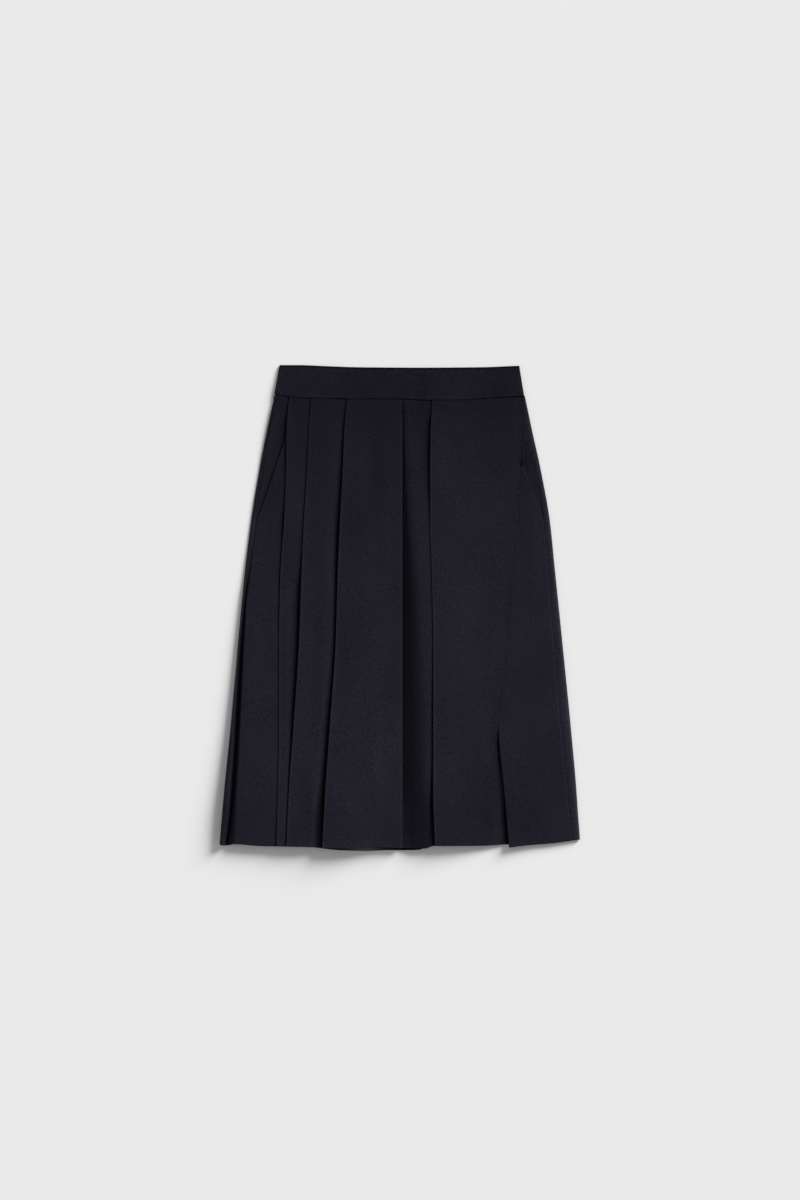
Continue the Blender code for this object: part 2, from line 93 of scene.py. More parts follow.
LEFT_SEAM_LIGHT: Spread = (243.0, 17.0)  # where a painted highlight falls on the side seam, just below the left pocket mouth
# where a painted highlight falls along the right hip
RIGHT_HIP_LIGHT: Spread = (105.0, 46.0)


class Side(Enum):
    """The side that a fold bulges to."""

    LEFT = -1
    RIGHT = 1


# --- curves ---------------------------------------------------------------------
def ramp(place: float, start: float, length: float) -> float:
    """0 up to the start, then evenly up to 1 over the length."""
    return min(max((place - start) / length, 0.0), 1.0)


def ease(share: float) -> float:
    """An even share from 0 to 1, made to start and stop softly."""
    return share * share * (3 - 2 * share)


def swell(place: float, centre: float, reach: float) -> float:
    """1 at the centre, fading softly over the reach to both sides."""
    return math.exp(-((place - centre) / reach) ** 2)


def blend(t: float) -> tuple[float, float, float, float]:
    """A cubic's weights at a share of its span: of start, end, and the way at each."""
    return (2 * t ** 3 - 3 * t ** 2 + 1, 3 * t ** 2 - 2 * t ** 3,
            t ** 3 - 2 * t ** 2 + t, t ** 3 - t ** 2)


def rows_of(kind: Callable[..., Row], *rows: tuple[float, ...]) -> tuple[Row, ...]:
    """One record for each row, whose values are in the order of the record's fields."""
    return tuple(kind(*row) for row in rows)


class Track:
    """A smooth run of values through stations, which never swings past them."""

    def __init__(self, *stations: tuple[float, float]) -> None:
        """Works out the slope at each station.

        Args:
            stations: the place and the value of each, in rising order of place.
        """
        self.places, self.values = zip(*stations)
        rises = [(b - a) / (q - p) for a, b, p, q in
                 zip(self.values, self.values[1:], self.places, self.places[1:])]
        inner = [2 * before * after / (before + after) if before * after > 0 else 0.0
                 for before, after in zip(rises, rises[1:])]
        self.slopes = [rises[0], *inner, rises[-1]]

    def at(self, place: float) -> float:
        """The value at a place; past either end it keeps the end's value.

        Args:
            place: where the value is wanted.

        Returns:
            The value there.
        """
        if place <= self.places[0]:
            return self.values[0]
        if place >= self.places[-1]:
            return self.values[-1]
        i = bisect_left(self.places, place)
        span = self.places[i] - self.places[i - 1]
        begin, end, leave, enter = blend((place - self.places[i - 1]) / span)
        return (begin * self.values[i - 1] + leave * span * self.slopes[i - 1]
                + end * self.values[i] + enter * span * self.slopes[i])


class Table(Generic[Row]):
    """Rows of named values down the skirt, read smoothly at any drop."""

    def __init__(self, kind: type[Row], *rows: tuple[float, ...]) -> None:
        """Lays a track through each column.

        Args:
            kind: the kind of row, which names the columns.
            rows: the rows in order of drop, which is their first value.
        """
        self.kind = kind
        drops, *columns = zip(*rows)
        self.tracks = [Track(*zip(drops, column)) for column in columns]
        self.kept: dict[float, Row] = {}

    def at(self, drop: float) -> Row:
        """The row of values at one drop.

        Args:
            drop: the place down the skirt.

        Returns:
            The row, worked out the first time that it is asked for.
        """
        if drop not in self.kept:
            self.kept[drop] = self.kind(drop, *(track.at(drop) for track in self.tracks))
        return self.kept[drop]


# --- the cut --------------------------------------------------------------------
class Line(NamedTuple):
    """Where each edge, seam and fold lies across the skirt, at one drop."""

    drop: float
    left: float
    left_seam: float
    pleat_1: float
    pleat_2: float
    pleat_3: float
    box_edge: float
    princess: float
    right_seam: float
    right: float


LINES = Table(
    Line,
    (48, -186.4, -184.1, -165.6, -132.6, -78.6, 48.9, 182.8, 185.3, 188.2),
    (97.5, -198.5, -194.6, -169.2, -135.9, -82.8, 46.7, 184.2, 193.7, 199),
    (157.5, -210.2, -205.3, -170.1, -138.6, -85.2, 45.9, 181, 206.2, 212.2),
    (232.5, -222.3, -214.9, -173.1, -143.4, -89.2, 45.9, 177.9, 216, 225.6),
    (307.5, -231.6, -224.1, -178.3, -146.7, -92.5, 48.2, 169.2, 222.2, 233.4),
    (352.5, -236.1, -230.6, -179.7, -148.2, -93.8, 49.4, 166.4, 225.8, 238.1),
    (412.5, -241.6, -234.6, -180.6, -150.3, -95.5, 50.4, 162.9, 230.7, 244.2),
    (543, -253, -241.6, -180.6, -158.7, -104.4, 50.4, 148.5, 241.7, 257.2),
    (637.5, -262.3, -248.6, -182.1, -165.6, -111, 50.4, 156.9, 251.4, 265.6),
    (721.5, -269.3, -258, -184.3, -169.3, -115.6, 53.1, 164.4, 258.2, 270.9),
)


class Height(NamedTuple):
    """Heights of the front across the skirt, at one drop."""

    drop: float
    left: float  # the front beside its left edge
    roll: float  # how far in the left edge rounds off
    under_1: float  # the cloth that pleat 1 lies on
    over_1: float  # the panel over the hidden fold of pleat 1
    under_2: float
    over_2: float
    under_3: float
    over_3: float
    mid_3: float
    box: float  # the straight fold beside the bed
    valley: float  # the bed close to that fold
    crest: float  # the bed where it is highest
    over_5: float
    mid_4: float
    low_4: float
    princess: float  # the pleated front at the princess seam


HEIGHTS = Table(
    Height,
    (48, 3.8, 1, 3.5, 4.9, 4, 4.9, 3.6, 5, 4.5, 4.4, 3.2, 4.15, 4.9, 4.6, 4.3, 3.6),
    (90, 3.8, 1, 3.4, 4.8, 4.4, 5, 3.2, 5, 4.4, 4.4, 2.2, 4, 6, 5.2, 4.2, 3.2),
    (160, 3.6, 1, 3.2, 4.8, 4.4, 5.4, 3.4, 5.6, 4.8, 4.8, 2, 6.6, 8.4, 6.4, 4.6, 3.6),
    (260, 2.9, 1.2, 3.2, 5, 4.6, 5.8, 3.8, 6.6, 5.6, 5.2, 2, 8.6, 9.8, 7.2, 5, 4.2),
    (352, 5.6, 2.6, 5.2, 6.6, 6.2, 8.2, 5.8, 9, 7.6, 6.4, 2, 10.4, 11.2, 7.8, 5.2, 4.3),
    (440, 7.2, 3.2, 6.8, 8.2, 7.8, 10, 7.4, 11, 9, 7.4, 2, 11.4, 12.2, 8, 5, 4.2),
    (540, 9.2, 3.8, 8.8, 10, 9.6, 11.5, 8.6, 13, 10.2, 8.2, 2.2, 11.8, 12.8, 8.2, 4.6, 4.2),
    (640, 11.6, 6.5, 11.2, 12.2, 12, 13.6, 10.4, 15.6, 11.6, 9.2, 2.8, 11.4, 13.4, 8, 4, 2.2),
    (700, 12.4, 11, 12.2, 13.4, 13.2, 14.3, 11.6, 16.8, 12.2, 9.6, 3.8, 10.6, 13, 7.8, 4.1, 2.2),
    (721.5, 12, 13, 12.2, 13.4, 13.4, 14.3, 11.8, 17.2, 12.2, 9.8, 4.8, 9.8, 12.4, 7.6, 4.2, 2.2),
)


class Stand(NamedTuple):
    """How high each fold's edge stands over the cloth beside it, at one drop."""

    drop: float
    pleat_1: float
    pleat_2: float
    pleat_3: float
    box_edge: float


STANDS = Table(
    Stand,
    (48, 1.15, 1.15, 1.3, 1.15),
    (67, 1.5, 1.2, 1.8, 1.7),
    (80, 2.2, 1.2, 2, 3.6),
    (97, 2.7, 1.25, 2.3, 4.1),
    (127, 2.6, 1.3, 3, 4.6),
    (172, 1.9, 1.5, 3.4, 3.4),
    (202, 1.9, 1.6, 3.6, 2),
    (262, 1.9, 2, 3.8, 1.15),
    (307, 1.9, 3, 3.4, 1.15),
    (352, 1.6, 4.2, 3.2, 1.15),
    (412, 1.15, 4.2, 3.3, 1.15),
    (472, 1.15, 3.7, 3.6, 1.3),
    (532, 1.15, 3.4, 4.2, 1.7),
    (592, 1.15, 2.6, 4.8, 2.3),
    (652, 1.25, 1.4, 5.6, 4.2),
    (697, 1.7, 1.5, 6.2, 5.4),
    (721.5, 1.7, 1.5, 6, 4.6),
)


class Core(NamedTuple):
    """How far the deep shade under each fold's edge shows beside it, at one drop."""

    drop: float
    pleat_1: float
    pleat_2: float
    pleat_3: float
    box_edge: float
    flap: float
    soft_1: float  # how far a softer shade goes on beside pleat 1
    soft_2: float
    soft_3: float


CORES = Table(
    Core,
    (48, 0, 0, 0.4, 0.4, 0, 0, 0, 0),
    (120, 0.4, 0, 1.6, 1.4, 0, 0, 0, 0.5),
    (200, 0.5, 0.6, 2.4, 0.9, 0, 1.5, 0, 3),
    (237, 1.9, 0.4, 2.8, 0.2, 0, 5.5, 0, 4),
    (280, 0.6, 0.5, 3.3, 0, 0, 1, 0.5, 2.5),
    (350, 0.8, 3.6, 2.7, 0.1, 0, 0, 7, 1.5),
    (440, 0.3, 2.8, 2.4, 1, 0, 0, 5, 2.5),
    (543, 0.1, 2.5, 3, 1.8, 0, 0, 3, 4),
    (565, 0.1, 2.2, 3.2, 1.7, 1.5, 0, 1.5, 3.5),
    (592, 0.1, 1.7, 3.4, 1.6, 2.2, 0, 0.8, 2.5),
    (625, 0.2, 1.2, 3.4, 2.8, 0, 0, 0.2, 4),
    (655, 0.3, 0.9, 3.3, 3.9, 0.6, 0, 0, 7),
    (690, 0.5, 0.9, 2.6, 3.7, 2.6, 0, 0, 9.5),
    (721.5, 0.8, 0.8, 1.8, 2.8, 2.9, 0, 0, 9.5),
)


class Depth(NamedTuple):
    """How far the cloth of each pleat runs back under its panel, at one drop."""

    drop: float
    pleat_1: float
    pleat_2: float
    pleat_3: float
    box_fold: float
    box_edge: float
    bed_steep: float  # how far the bed climbs steeply from the straight fold
    bed_slope: float  # and how far until it is level


DEPTHS = Table(
    Depth,
    (48, 13, 20, 24, 22, 22, 3, 6),
    (112, 12.8, 20.5, 24.5, 22.5, 22.8, 5, 11),
    (172, 12.5, 21, 25, 23, 23.5, 8.5, 16),
    (262, 12.1, 22, 26, 24, 24.6, 13.5, 23),
    (352, 11.7, 22.5, 26.5, 24.6, 25.7, 19, 29),
    (442, 11.4, 23.3, 27.3, 25.3, 26.8, 23, 33),
    (543, 11, 24, 28, 26, 28, 26, 37),
    (622, 10.2, 24.8, 28.8, 26.8, 28.8, 28, 38),
    (682, 9.4, 25.6, 29.6, 27.6, 29.6, 32, 40),
    (721.5, 9, 26, 30, 28, 30, 33, 41),
)


class Roll(NamedTuple):
    """The back panel where it folds round the two sides to the side seams."""

    drop: float
    left_top: float  # height of the fold at the left side
    left_lip: float  # how far its top runs before it dives to the seam
    left_run: float  # how far in the cloth leaves the surface to reach it
    left_end: float  # height at the left side seam
    left_tuck: float  # how far the cloth goes on under the front
    right_radius: float
    right_end: float


ROLLS = Table(
    Roll,
    (48, 4, 1.6, 5, 3.5, -0.1, 1.6, 3.9),
    (90, 3.7, 2, 6, 2.9, -0.1, 1.5, 3.6),
    (172, 2.2, 2, 5, 1.9, -0.1, 1.4, 3.4),
    (262, 2.4, 2, 5, 2.2, -0.1, 1.6, 3.6),
    (325, 3.6, 2, 7, 2.2, -0.1, 1.8, 3.8),
    (345, 4.8, 2, 7.5, 2.1, 5, 1.8, 3.8),
    (430, 6.6, 1.5, 7.5, 2.4, 6.4, 1.9, 4),
    (517, 8.6, 3, 8.5, 2.6, 6.8, 2, 4.1),
    (602, 11.4, 6.3, 9.5, 2.8, 7.4, 2, 4.1),
    (672, 14, 6.8, 11, 3, 7.8, 2.1, 4.2),
    (721.5, 12, 5.4, 11.5, 3, 8, 2.1, 4.2),
)


class SideHeight(NamedTuple):
    """Heights of the front side, from the princess seam to its right edge."""

    drop: float
    left: float
    mid: float
    right: float


SIDE_HEIGHTS = Table(
    SideHeight,
    (152, 3.7, 3.9, 3.9),
    (190, 3.9, 4.4, 4.4),
    (231, 4.1, 4.6, 4.4),
    (262, 4.25, 4.6, 4.1),
    (352, 4.35, 4.6, 4.2),
    (440, 4.25, 4.6, 4.3),
    (536, 4.25, 4.6, 4.4),
    (548, 4.9, 4.6, 4.4),
    (562, 6.4, 4.7, 4.4),
    (585, 6.6, 4.8, 4.4),
    (625, 6.5, 5, 4.5),
    (670, 7.5, 5.3, 4.5),
    (721.5, 9.2, 5.8, 4.6),
)

# Seams and hems: the drop at each x.
WAIST_TOP = Track(
    (-180, 0.2), (-150, 0.2), (-104, 2), (-59, 3.4), (31, 4), (121, 3.4), (180, 1.2),
)
WAIST_SEAM = Track(
    (-188, 43), (-166, 46.7), (-137, 49.4), (-80, 50.2), (0, 50.8), (45, 52.5), (86, 52.3),
    (145, 48.8), (188, 46),
)
FRONT_HEM = Track(
    (-256, 717.8), (-239, 718.5), (-209, 720.9), (-149, 722), (-110, 723.4), (-81.6, 724.4),
    (-58, 724.2), (-40, 723), (-20, 723.6), (3.9, 724.4), (38, 724.9), (52, 720.8), (121, 721),
    (162, 719.2), (190, 718.2),
)
SIDE_HEM = Track(
    (164, 723.6), (196, 720), (226, 717.8), (258, 713.8),
)
BACK_HEM = Track(
    (-270, 718.8), (-260, 720.6), (-240, 717.6), (-149, 721.6), (-92, 728), (-51, 729.4),
    (-14, 728), (18, 728.1), (34, 727), (44, 721.8), (151, 716.5), (258, 713.4), (270, 712),
)


@dataclass(frozen=True)
class Cut:
    """The skirt's lines, heights and folds, as laid out."""

    line: Table[Line] = LINES
    height: Table[Height] = HEIGHTS
    stand: Table[Stand] = STANDS
    core: Table[Core] = CORES
    depth: Table[Depth] = DEPTHS
    roll: Table[Roll] = ROLLS
    side: Table[SideHeight] = SIDE_HEIGHTS
    seam: Track = WAIST_SEAM
    left_mouth_top: float = -168.6
    left_mouth_slope: float = -0.343
    mouth_hidden_run: float = 60.0
    right_mouth_top: float = 185.9
    right_mouth_slope: float = 0.385

    def left_mouth(self, drop: float) -> float:
        """The left pocket mouth's x: beside pleat 1, then slanting to the side seam.

        Args:
            drop: the place down the skirt.

        Returns:
            The mouth's x there.
        """
        if drop < POCKET_TOP:
            hidden = 2.0 * (POCKET_TOP - drop) / self.mouth_hidden_run
            return self.line.at(drop).pleat_1 + 1.0 + hidden
        return self.left_mouth_top + self.left_mouth_slope * (drop - POCKET_TOP)

    def right_mouth(self, drop: float) -> float:
        """The right pocket mouth's x, from the princess seam to the side seam."""
        return self.right_mouth_top + self.right_mouth_slope * (drop - SIDE_TOP)


# --- painted light and shade ----------------------------------------------------
class Patch(NamedTuple):
    """A soft patch of painted light or shade, lighter or darker than the rest."""

    x: float
    drop: float
    reach: float  # across
    reach_down: float
    amount: float  # share of its tone that is added


@dataclass(frozen=True, eq=False)
class PaintedShading:
    """Painted light and shade on one piece: darker near the waist, lighter lower down."""

    tones: Track  # the tone at each drop; 1 is the wool's plain colour
    patches: tuple[Patch, ...]

    def at(self, x: float, drop: float) -> float:
        """How light the cloth looks at one place.

        Args:
            x: the place across the skirt.
            drop: the place down the skirt.

        Returns:
            The tone of its colour.
        """
        added = sum(patch.amount * swell(x, patch.x, patch.reach)
                    * swell(drop, patch.drop, patch.reach_down) for patch in self.patches)
        return self.tones.at(drop) * (1.0 + added)


# Painted light and shade down the skirt, darker near the waist and lighter lower down.
SKIRT_TONES = Track(
    (48, 0.6), (80, 0.68), (112, 0.74), (172, 0.84), (262, 0.95), (352, 1), (442, 1.02),
    (532, 1.07), (622, 1.07), (697, 1), (711, 1.05), (722, 1.16),
)
# Painted light and shade on the front, patch by patch.
FRONT_PAINTED_SHADING = PaintedShading(SKIRT_TONES, rows_of(
    Patch,
    (90, 190, 55, 70, 0.1), (85, 262, 30, 60, 0.07), (60, 330, 13, 140, 0.09),
    (34, 70, 9, 36, -0.18), (-191, 187, 16, 80, -0.12), (-196, 110, 10, 60, 0.12),
    (-122, 350, 16, 240, -0.16), (-68, 230, 22, 130, -0.12), (-98, 500, 8, 150, 0.15),
    (-66, 382, 16, 125, -0.07), (-22, 440, 20, 130, 0.05), (-22, 590, 28, 44, 0.15),
    (-238, 560, 10, 100, -0.1), (158, 146, 12, 28, -0.08), (190, 60, 9, 34, 0.3),
    (95, 520, 26, 60, -0.08), (112, 610, 36, 66, -0.18), (128, 671, 32, 52, -0.12),
    (163, 352, 6, 60, -0.08), (151, 480, 7, 60, -0.12), (205, 370, 20, 90, 0.06),
    (176, 640, 14, 90, -0.12), (210, 650, 34, 80, -0.12), (-185, 58, 10, 22, 0.3),
    (190, 138, 5, 28, -0.22), (-137, 655, 13, 40, -0.2), (-150, 606, 10, 30, -0.08),
    (-146, 350, 12, 50, -0.1), (130, 690, 16, 24, -0.17), (186, 690, 22, 26, -0.14),
    (138, 594, 20, 60, -0.08), (120, 495, 30, 36, -0.07), (214, 236, 12, 50, 0.1),
    (118, 723, 30, 9, -0.16), (-4, 600, 9, 110, 0.08), (115, 628, 36, 40, -0.07),
    (143, 600, 6, 42, -0.13), (197, 95, 6, 34, 0.2), (192, 208, 16, 28, 0.1),
    (-224, 243, 7, 30, 0.14), (-221, 700, 14, 30, 0.08), (191, 84, 6, 26, 0.12),
    (25, 52.2, 20, 1.6, 0.8),
))
# Painted light and shade on the back; the last three patches paint dark shade under the front's hem,
# with a lighter strip of the back's hem between.
BACK_PAINTED_SHADING = PaintedShading(SKIRT_TONES, rows_of(
    Patch,
    (-60, 240, 70, 90, 0.06), (90, 500, 60, 110, -0.06), (-120, 610, 50, 80, 0.05),
    (-262, 640, 10, 90, -0.32), (-256, 562, 7, 44, -0.36), (-226, 243, 8, 30, 0.22),
    (-93, 727, 11, 7, -0.85), (-52, 729, 20, 7, 3.2), (6, 727, 34, 7, -0.99),
))
# Painted light and shade on the waistband.
BAND_PAINTED_SHADING = PaintedShading(Track((0, 0.96), (50, 0.9)), rows_of(
    Patch,
    (-178, 30, 14, 40, 0.12), (-140, 20, 34, 40, 0.1), (-92, 32, 34, 30, -0.1),
    (-20, 26, 62, 60, -0.08), (62, 30, 14, 24, 0.12), (34, 38, 9, 18, -0.2),
    (174, 30, 14, 40, 0.1), (-30, 25, 40, 18, -0.07), (-185, 30, 8, 16, 0.14),
))


# --- creases --------------------------------------------------------------------
@dataclass(frozen=True)
class Crease:
    """A soft ridge, or with a negative height a trough, along a straight run."""

    x: float
    drop: float
    x_end: float
    drop_end: float
    width: float
    height: float

    def at(self, x: float, drop: float) -> float:
        """How far the crease lifts the cloth at one place.

        Args:
            x: the place across the skirt.
            drop: the place down the skirt.

        Returns:
            The lift, which fades to both sides and to both ends.
        """
        run_x, run_y = self.x_end - self.x, self.drop_end - self.drop
        length = math.hypot(run_x, run_y)
        along = ((x - self.x) * run_x + (drop - self.drop) * run_y) / length
        if not 0.0 < along < length:
            return 0.0
        off = abs((x - self.x) * run_y - (drop - self.drop) * run_x) / length / self.width
        if off > 3.0:
            return 0.0
        return self.height * math.exp(-off * off) * math.sin(math.pi * along / length) ** 1.5


FRONT_CREASES = rows_of(
    Crease,
    (-118, 60, -112, 190, 9, -0.5), (-52, 58, -44, 240, 16, -0.7), (-20, 90, -26, 420, 9, 0.5),
    (-62, 250, -66, 520, 11, -0.6), (-44, 470, -30, 690, 10, 0.5),
    (-126, 330, -134, 600, 10, -0.4), (70, 60, 96, 250, 14, -0.6), (112, 70, 128, 210, 15, -0.8),
    (150, 62, 140, 280, 10, 0.5), (95, 300, 104, 560, 16, 0.5), (146, 330, 138, 520, 8, 0.5),
    (148.5, 552, 139, 626, 2.4, 0.65), (112, 590, 106, 716, 12, 0.6),
    (126, 610, 130, 719, 8, -0.5), (163, 106, 168, 118, 1.6, 0.35),
    (-215, 360, -222, 640, 12, 0.4), (-198, 300, -204, 520, 9, -0.4),
)
SIDE_CREASES = rows_of(
    Crease,
    (196, 250, 190, 470, 12, -0.5), (214, 300, 226, 560, 10, 0.4), (182, 600, 190, 718, 9, -0.6),
    (216, 560, 224, 714, 12, 0.4), (205, 190, 196, 330, 8, 0.4),
)
BACK_CREASES = rows_of(
    Crease,
    (-120, 90, -96, 330, 16, 0.5), (30, 70, 12, 260, 14, 0.4), (110, 120, 128, 420, 18, 0.5),
    (-60, 380, -74, 690, 15, 0.5), (60, 430, 78, 700, 17, 0.45), (-180, 300, -196, 600, 12, 0.4),
    (190, 440, 206, 700, 13, 0.4),
)
BAND_CREASES = rows_of(
    Crease,
    (28, 20, 40, 47, 3.5, -0.35), (-82, 36, -80, 50, 2.5, 0.2), (-60, 10, -20, 34, 14, -0.25),
    (90, 8, 120, 40, 12, -0.2), (-150, 12, -140, 42, 9, 0.15),
)


# --- sections -------------------------------------------------------------------
class Spot(NamedTuple):
    """One point of a finished section."""

    x: float
    z: float
    run: float  # length of cloth from the section's start
    painted_highlight: float  # painted highlight: 1 on a pressed fold's edge, 0 well away from one
    painted_shade: float  # painted shade: 1 deep beside or inside a fold, 0 in the open; below 0 a painted highlight


class Knot(NamedTuple):
    """A place that a section passes through.

    parts is how many pieces the stretch before it is divided into, and way the
    direction of the section there, where its neighbours don't give it.
    """

    x: float
    z: float
    parts: int
    way: tuple[float, float] | None
    painted_highlight: float
    painted_shade: float


class Section:
    """One line across a piece of cloth, in and out of its folds."""

    FOLD_STEPS = 6
    # how far a fold's painted highlight reaches
    FOLD_HIGHLIGHT_REACH = 1.5

    def __init__(self) -> None:
        """Starts an empty section."""
        self.knots: list[Knot] = []

    def to(self, x: float, z: float, parts: int = 1, way: tuple[float, float] | None = None,
           painted_highlight: float = 0.0, painted_shade: float = 0.0) -> None:
        """Takes the section on to the next place.

        Args:
            x: the place across the skirt.
            z: its height.
            parts: pieces that the stretch up to it is divided into.
            way: the section's direction there, if it is fixed.
            painted_highlight: how much highlight is painted on the cloth there, from 0 to 1.
            painted_shade: how much shade is painted on it there; below 0 a painted highlight.
        """
        self.knots.append(Knot(x, z, parts, way, painted_highlight, painted_shade))

    def fold(self, x: float, z_from: float, z_to: float, side: Side, parts: int,
             painted_shade: tuple[float, float] = (1.0, 1.0)) -> None:
        """A pressed fold: a half circle from one layer to the next.

        Args:
            x: the fold's outermost place.
            z_from: height of the layer that comes in.
            z_to: height of the layer that goes out.
            side: the side that the fold bulges to.
            parts: pieces in the stretch that leads up to the fold.
            painted_shade: the shade painted on the two layers.
        """
        middle, radius = (z_from + z_to) / 2, (z_to - z_from) / 2
        centre = x - side.value * (abs(radius) + CLOTH / 2)
        ways = {0: (float(side.value), 0.0), self.FOLD_STEPS: (-float(side.value), 0.0)}
        for step in range(self.FOLD_STEPS + 1):
            angle = math.pi * step / self.FOLD_STEPS
            # The fold's edge gets a painted highlight, and its layers painted shade.
            self.to(centre + side.value * abs(radius) * math.sin(angle),
                    middle - radius * math.cos(angle), 1 if step else parts, ways.get(step),
                    math.sin(angle) * 0.6 + 0.4,
                    painted_shade[0] + (painted_shade[1] - painted_shade[0]) * step / self.FOLD_STEPS)

    def points(self) -> list[Spot]:
        """The section as short pieces.

        Returns:
            Its points from the first knot to the last, on a smooth curve.
        """
        ways = []
        for i, knot in enumerate(self.knots):
            before, after = self.knots[max(i - 1, 0)], self.knots[min(i + 1, len(self.knots) - 1)]
            reach = math.hypot(after.x - before.x, after.z - before.z) or 1.0
            ways.append(knot.way or ((after.x - before.x) / reach, (after.z - before.z) / reach))
        first = self.knots[0]
        spots = [Spot(first.x, first.z, 0.0, first.painted_highlight, first.painted_shade)]
        for a, b, leave, enter in zip(self.knots, self.knots[1:], ways, ways[1:]):
            span = math.hypot(b.x - a.x, b.z - a.z)
            for part in range(1, b.parts + 1):
                t = part / b.parts
                p, q, m, n = blend(t)
                x = p * a.x + q * b.x + m * span * leave[0] + n * span * enter[0]
                z = p * a.z + q * b.z + m * span * leave[1] + n * span * enter[1]
                last = spots[-1]
                run = last.run + math.hypot(x - last.x, z - last.z)
                near = min(t, 1 - t) * span
                painted_highlight = ((1 - t) * a.painted_highlight + t * b.painted_highlight) * math.exp(-near / self.FOLD_HIGHLIGHT_REACH)
                spots.append(Spot(x, z, run, painted_highlight, (1 - t) * a.painted_shade + t * b.painted_shade))
        return spots


# --- finishes -------------------------------------------------------------------
def feed(tree: Tree, node: bpy.types.Node, inputs: Inputs) -> None:
    """Sets a node's inputs, or links them.

    Args:
        tree: the tree that the node is in.
        node: the node.
        inputs: for each input's name or number a value, or the socket that feeds it.
    """
    for label, value in inputs.items():
        if isinstance(value, Socket):
            tree.links.new(value, node.inputs[label])
        else:
            node.inputs[label].default_value = value


def add_node(tree: Tree, kind: str, inputs: Inputs | None = None, **settings: object) -> bpy.types.Node:
    """A shader node with its settings and inputs.

    Args:
        tree: the tree that it goes in.
        kind: its type, without the ShaderNode that they all start with.
        inputs: its inputs, as feed takes them.
        settings: its other properties.

    Returns:
        The node.
    """
    node = tree.nodes.new("ShaderNode" + kind)
    for name, value in settings.items():
        setattr(node, name, value)
    feed(tree, node, inputs or {})
    return node


def math_node(tree: Tree, operation: str, *values: object) -> Socket:
    """The result of a Math node on sockets or plain numbers."""
    return add_node(tree, "Math", dict(enumerate(values)), operation=operation).outputs[0]


def mix_node(tree: Tree, factor: Socket, first: object, second: object) -> Socket:
    """The colour between a first one, at factor 0, and a second one, at factor 1."""
    return add_node(tree, "Mix", {0: factor, 6: first, 7: second}, data_type="RGBA").outputs[2]


def new_group(name: str, inputs: dict[str, tuple[str, float | None]], output: str) -> Tree:
    """An empty shader node group with its sockets.

    Args:
        name: the group's name.
        inputs: each input's kind of socket and its default value.
        output: the name of its one output, a number.

    Returns:
        The group, with its input and output nodes placed.
    """
    group = bpy.data.node_groups.new(name, "ShaderNodeTree")
    for label, (kind, value) in inputs.items():
        socket = group.interface.new_socket(label, in_out="INPUT", socket_type="NodeSocket" + kind)
        if value is not None:
            socket.default_value = value
    group.interface.new_socket(output, in_out="OUTPUT", socket_type="NodeSocketFloat")
    group.nodes.new("NodeGroupInput")
    group.nodes.new("NodeGroupOutput")
    return group


def twill_group(double: float = 0.45, swing: float = 0.34) -> Tree:
    """The fine twill of worsted wool, on the cloth's own lengths.

    Args:
        double: strength of the single yarns beside that of the twill's ribs.
        swing: how far a rib moves the height from its middle.

    Returns:
        A group that puts out the yarns' height, from 0 to 1.
    """
    group = new_group("wool_twill", {"Cloth": ("Vector", None), "Pitch": ("Float", 0.0006)}, "Height")
    begin, end = group.nodes["Group Input"], group.nodes["Group Output"]
    parts = add_node(group, "SeparateXYZ", {0: begin.outputs["Cloth"]})
    turns = math_node(group, "DIVIDE", math.tau, begin.outputs["Pitch"])
    across = math_node(group, "MULTIPLY", parts.outputs["X"], turns)
    down = math_node(group, "MULTIPLY", parts.outputs["Y"], turns)
    ribs = math_node(group, "SINE", math_node(group, "ADD", across, down))
    yarns = math_node(group, "SINE", math_node(group, "MULTIPLY", across, 2.0))
    mixed = math_node(group, "ADD", ribs, math_node(group, "MULTIPLY", yarns, double))
    height = math_node(group, "ADD", math_node(group, "MULTIPLY", mixed, swing), 0.5)
    feed(group, end, {"Height": height})
    return group


def melange_group() -> Tree:
    """The uneven tone of dyed wool: slubs along both sets of yarns, and soft patches.

    Returns:
        A group that puts out a tone that is 0.5 on average.
    """
    group = new_group("wool_melange", {"Slubs": ("Float", 1.0), "Patches": ("Float", 0.3)}, "Tone")
    begin, end = group.nodes["Group Input"], group.nodes["Group Output"]
    place = add_node(group, "TexCoord")
    total: object = 0.5
    for scale, strength in (((340.0, 760.0, 400.0), "Slubs"), ((760.0, 340.0, 400.0), "Slubs"),
                            ((16.0, 11.0, 16.0), "Patches")):
        spread = add_node(group, "Mapping", {"Scale": scale, "Vector": place.outputs["Object"]})
        noise = add_node(group, "TexNoise", {"Scale": 1.0, "Detail": 1.0,
                                             "Vector": spread.outputs["Vector"]})
        swing = math_node(group, "SUBTRACT", noise.outputs["Fac"], 0.5)
        swing = math_node(group, "MULTIPLY", swing, begin.outputs[strength])
        total = math_node(group, "ADD", total, swing)
    feed(group, end, {"Tone": total})
    return group


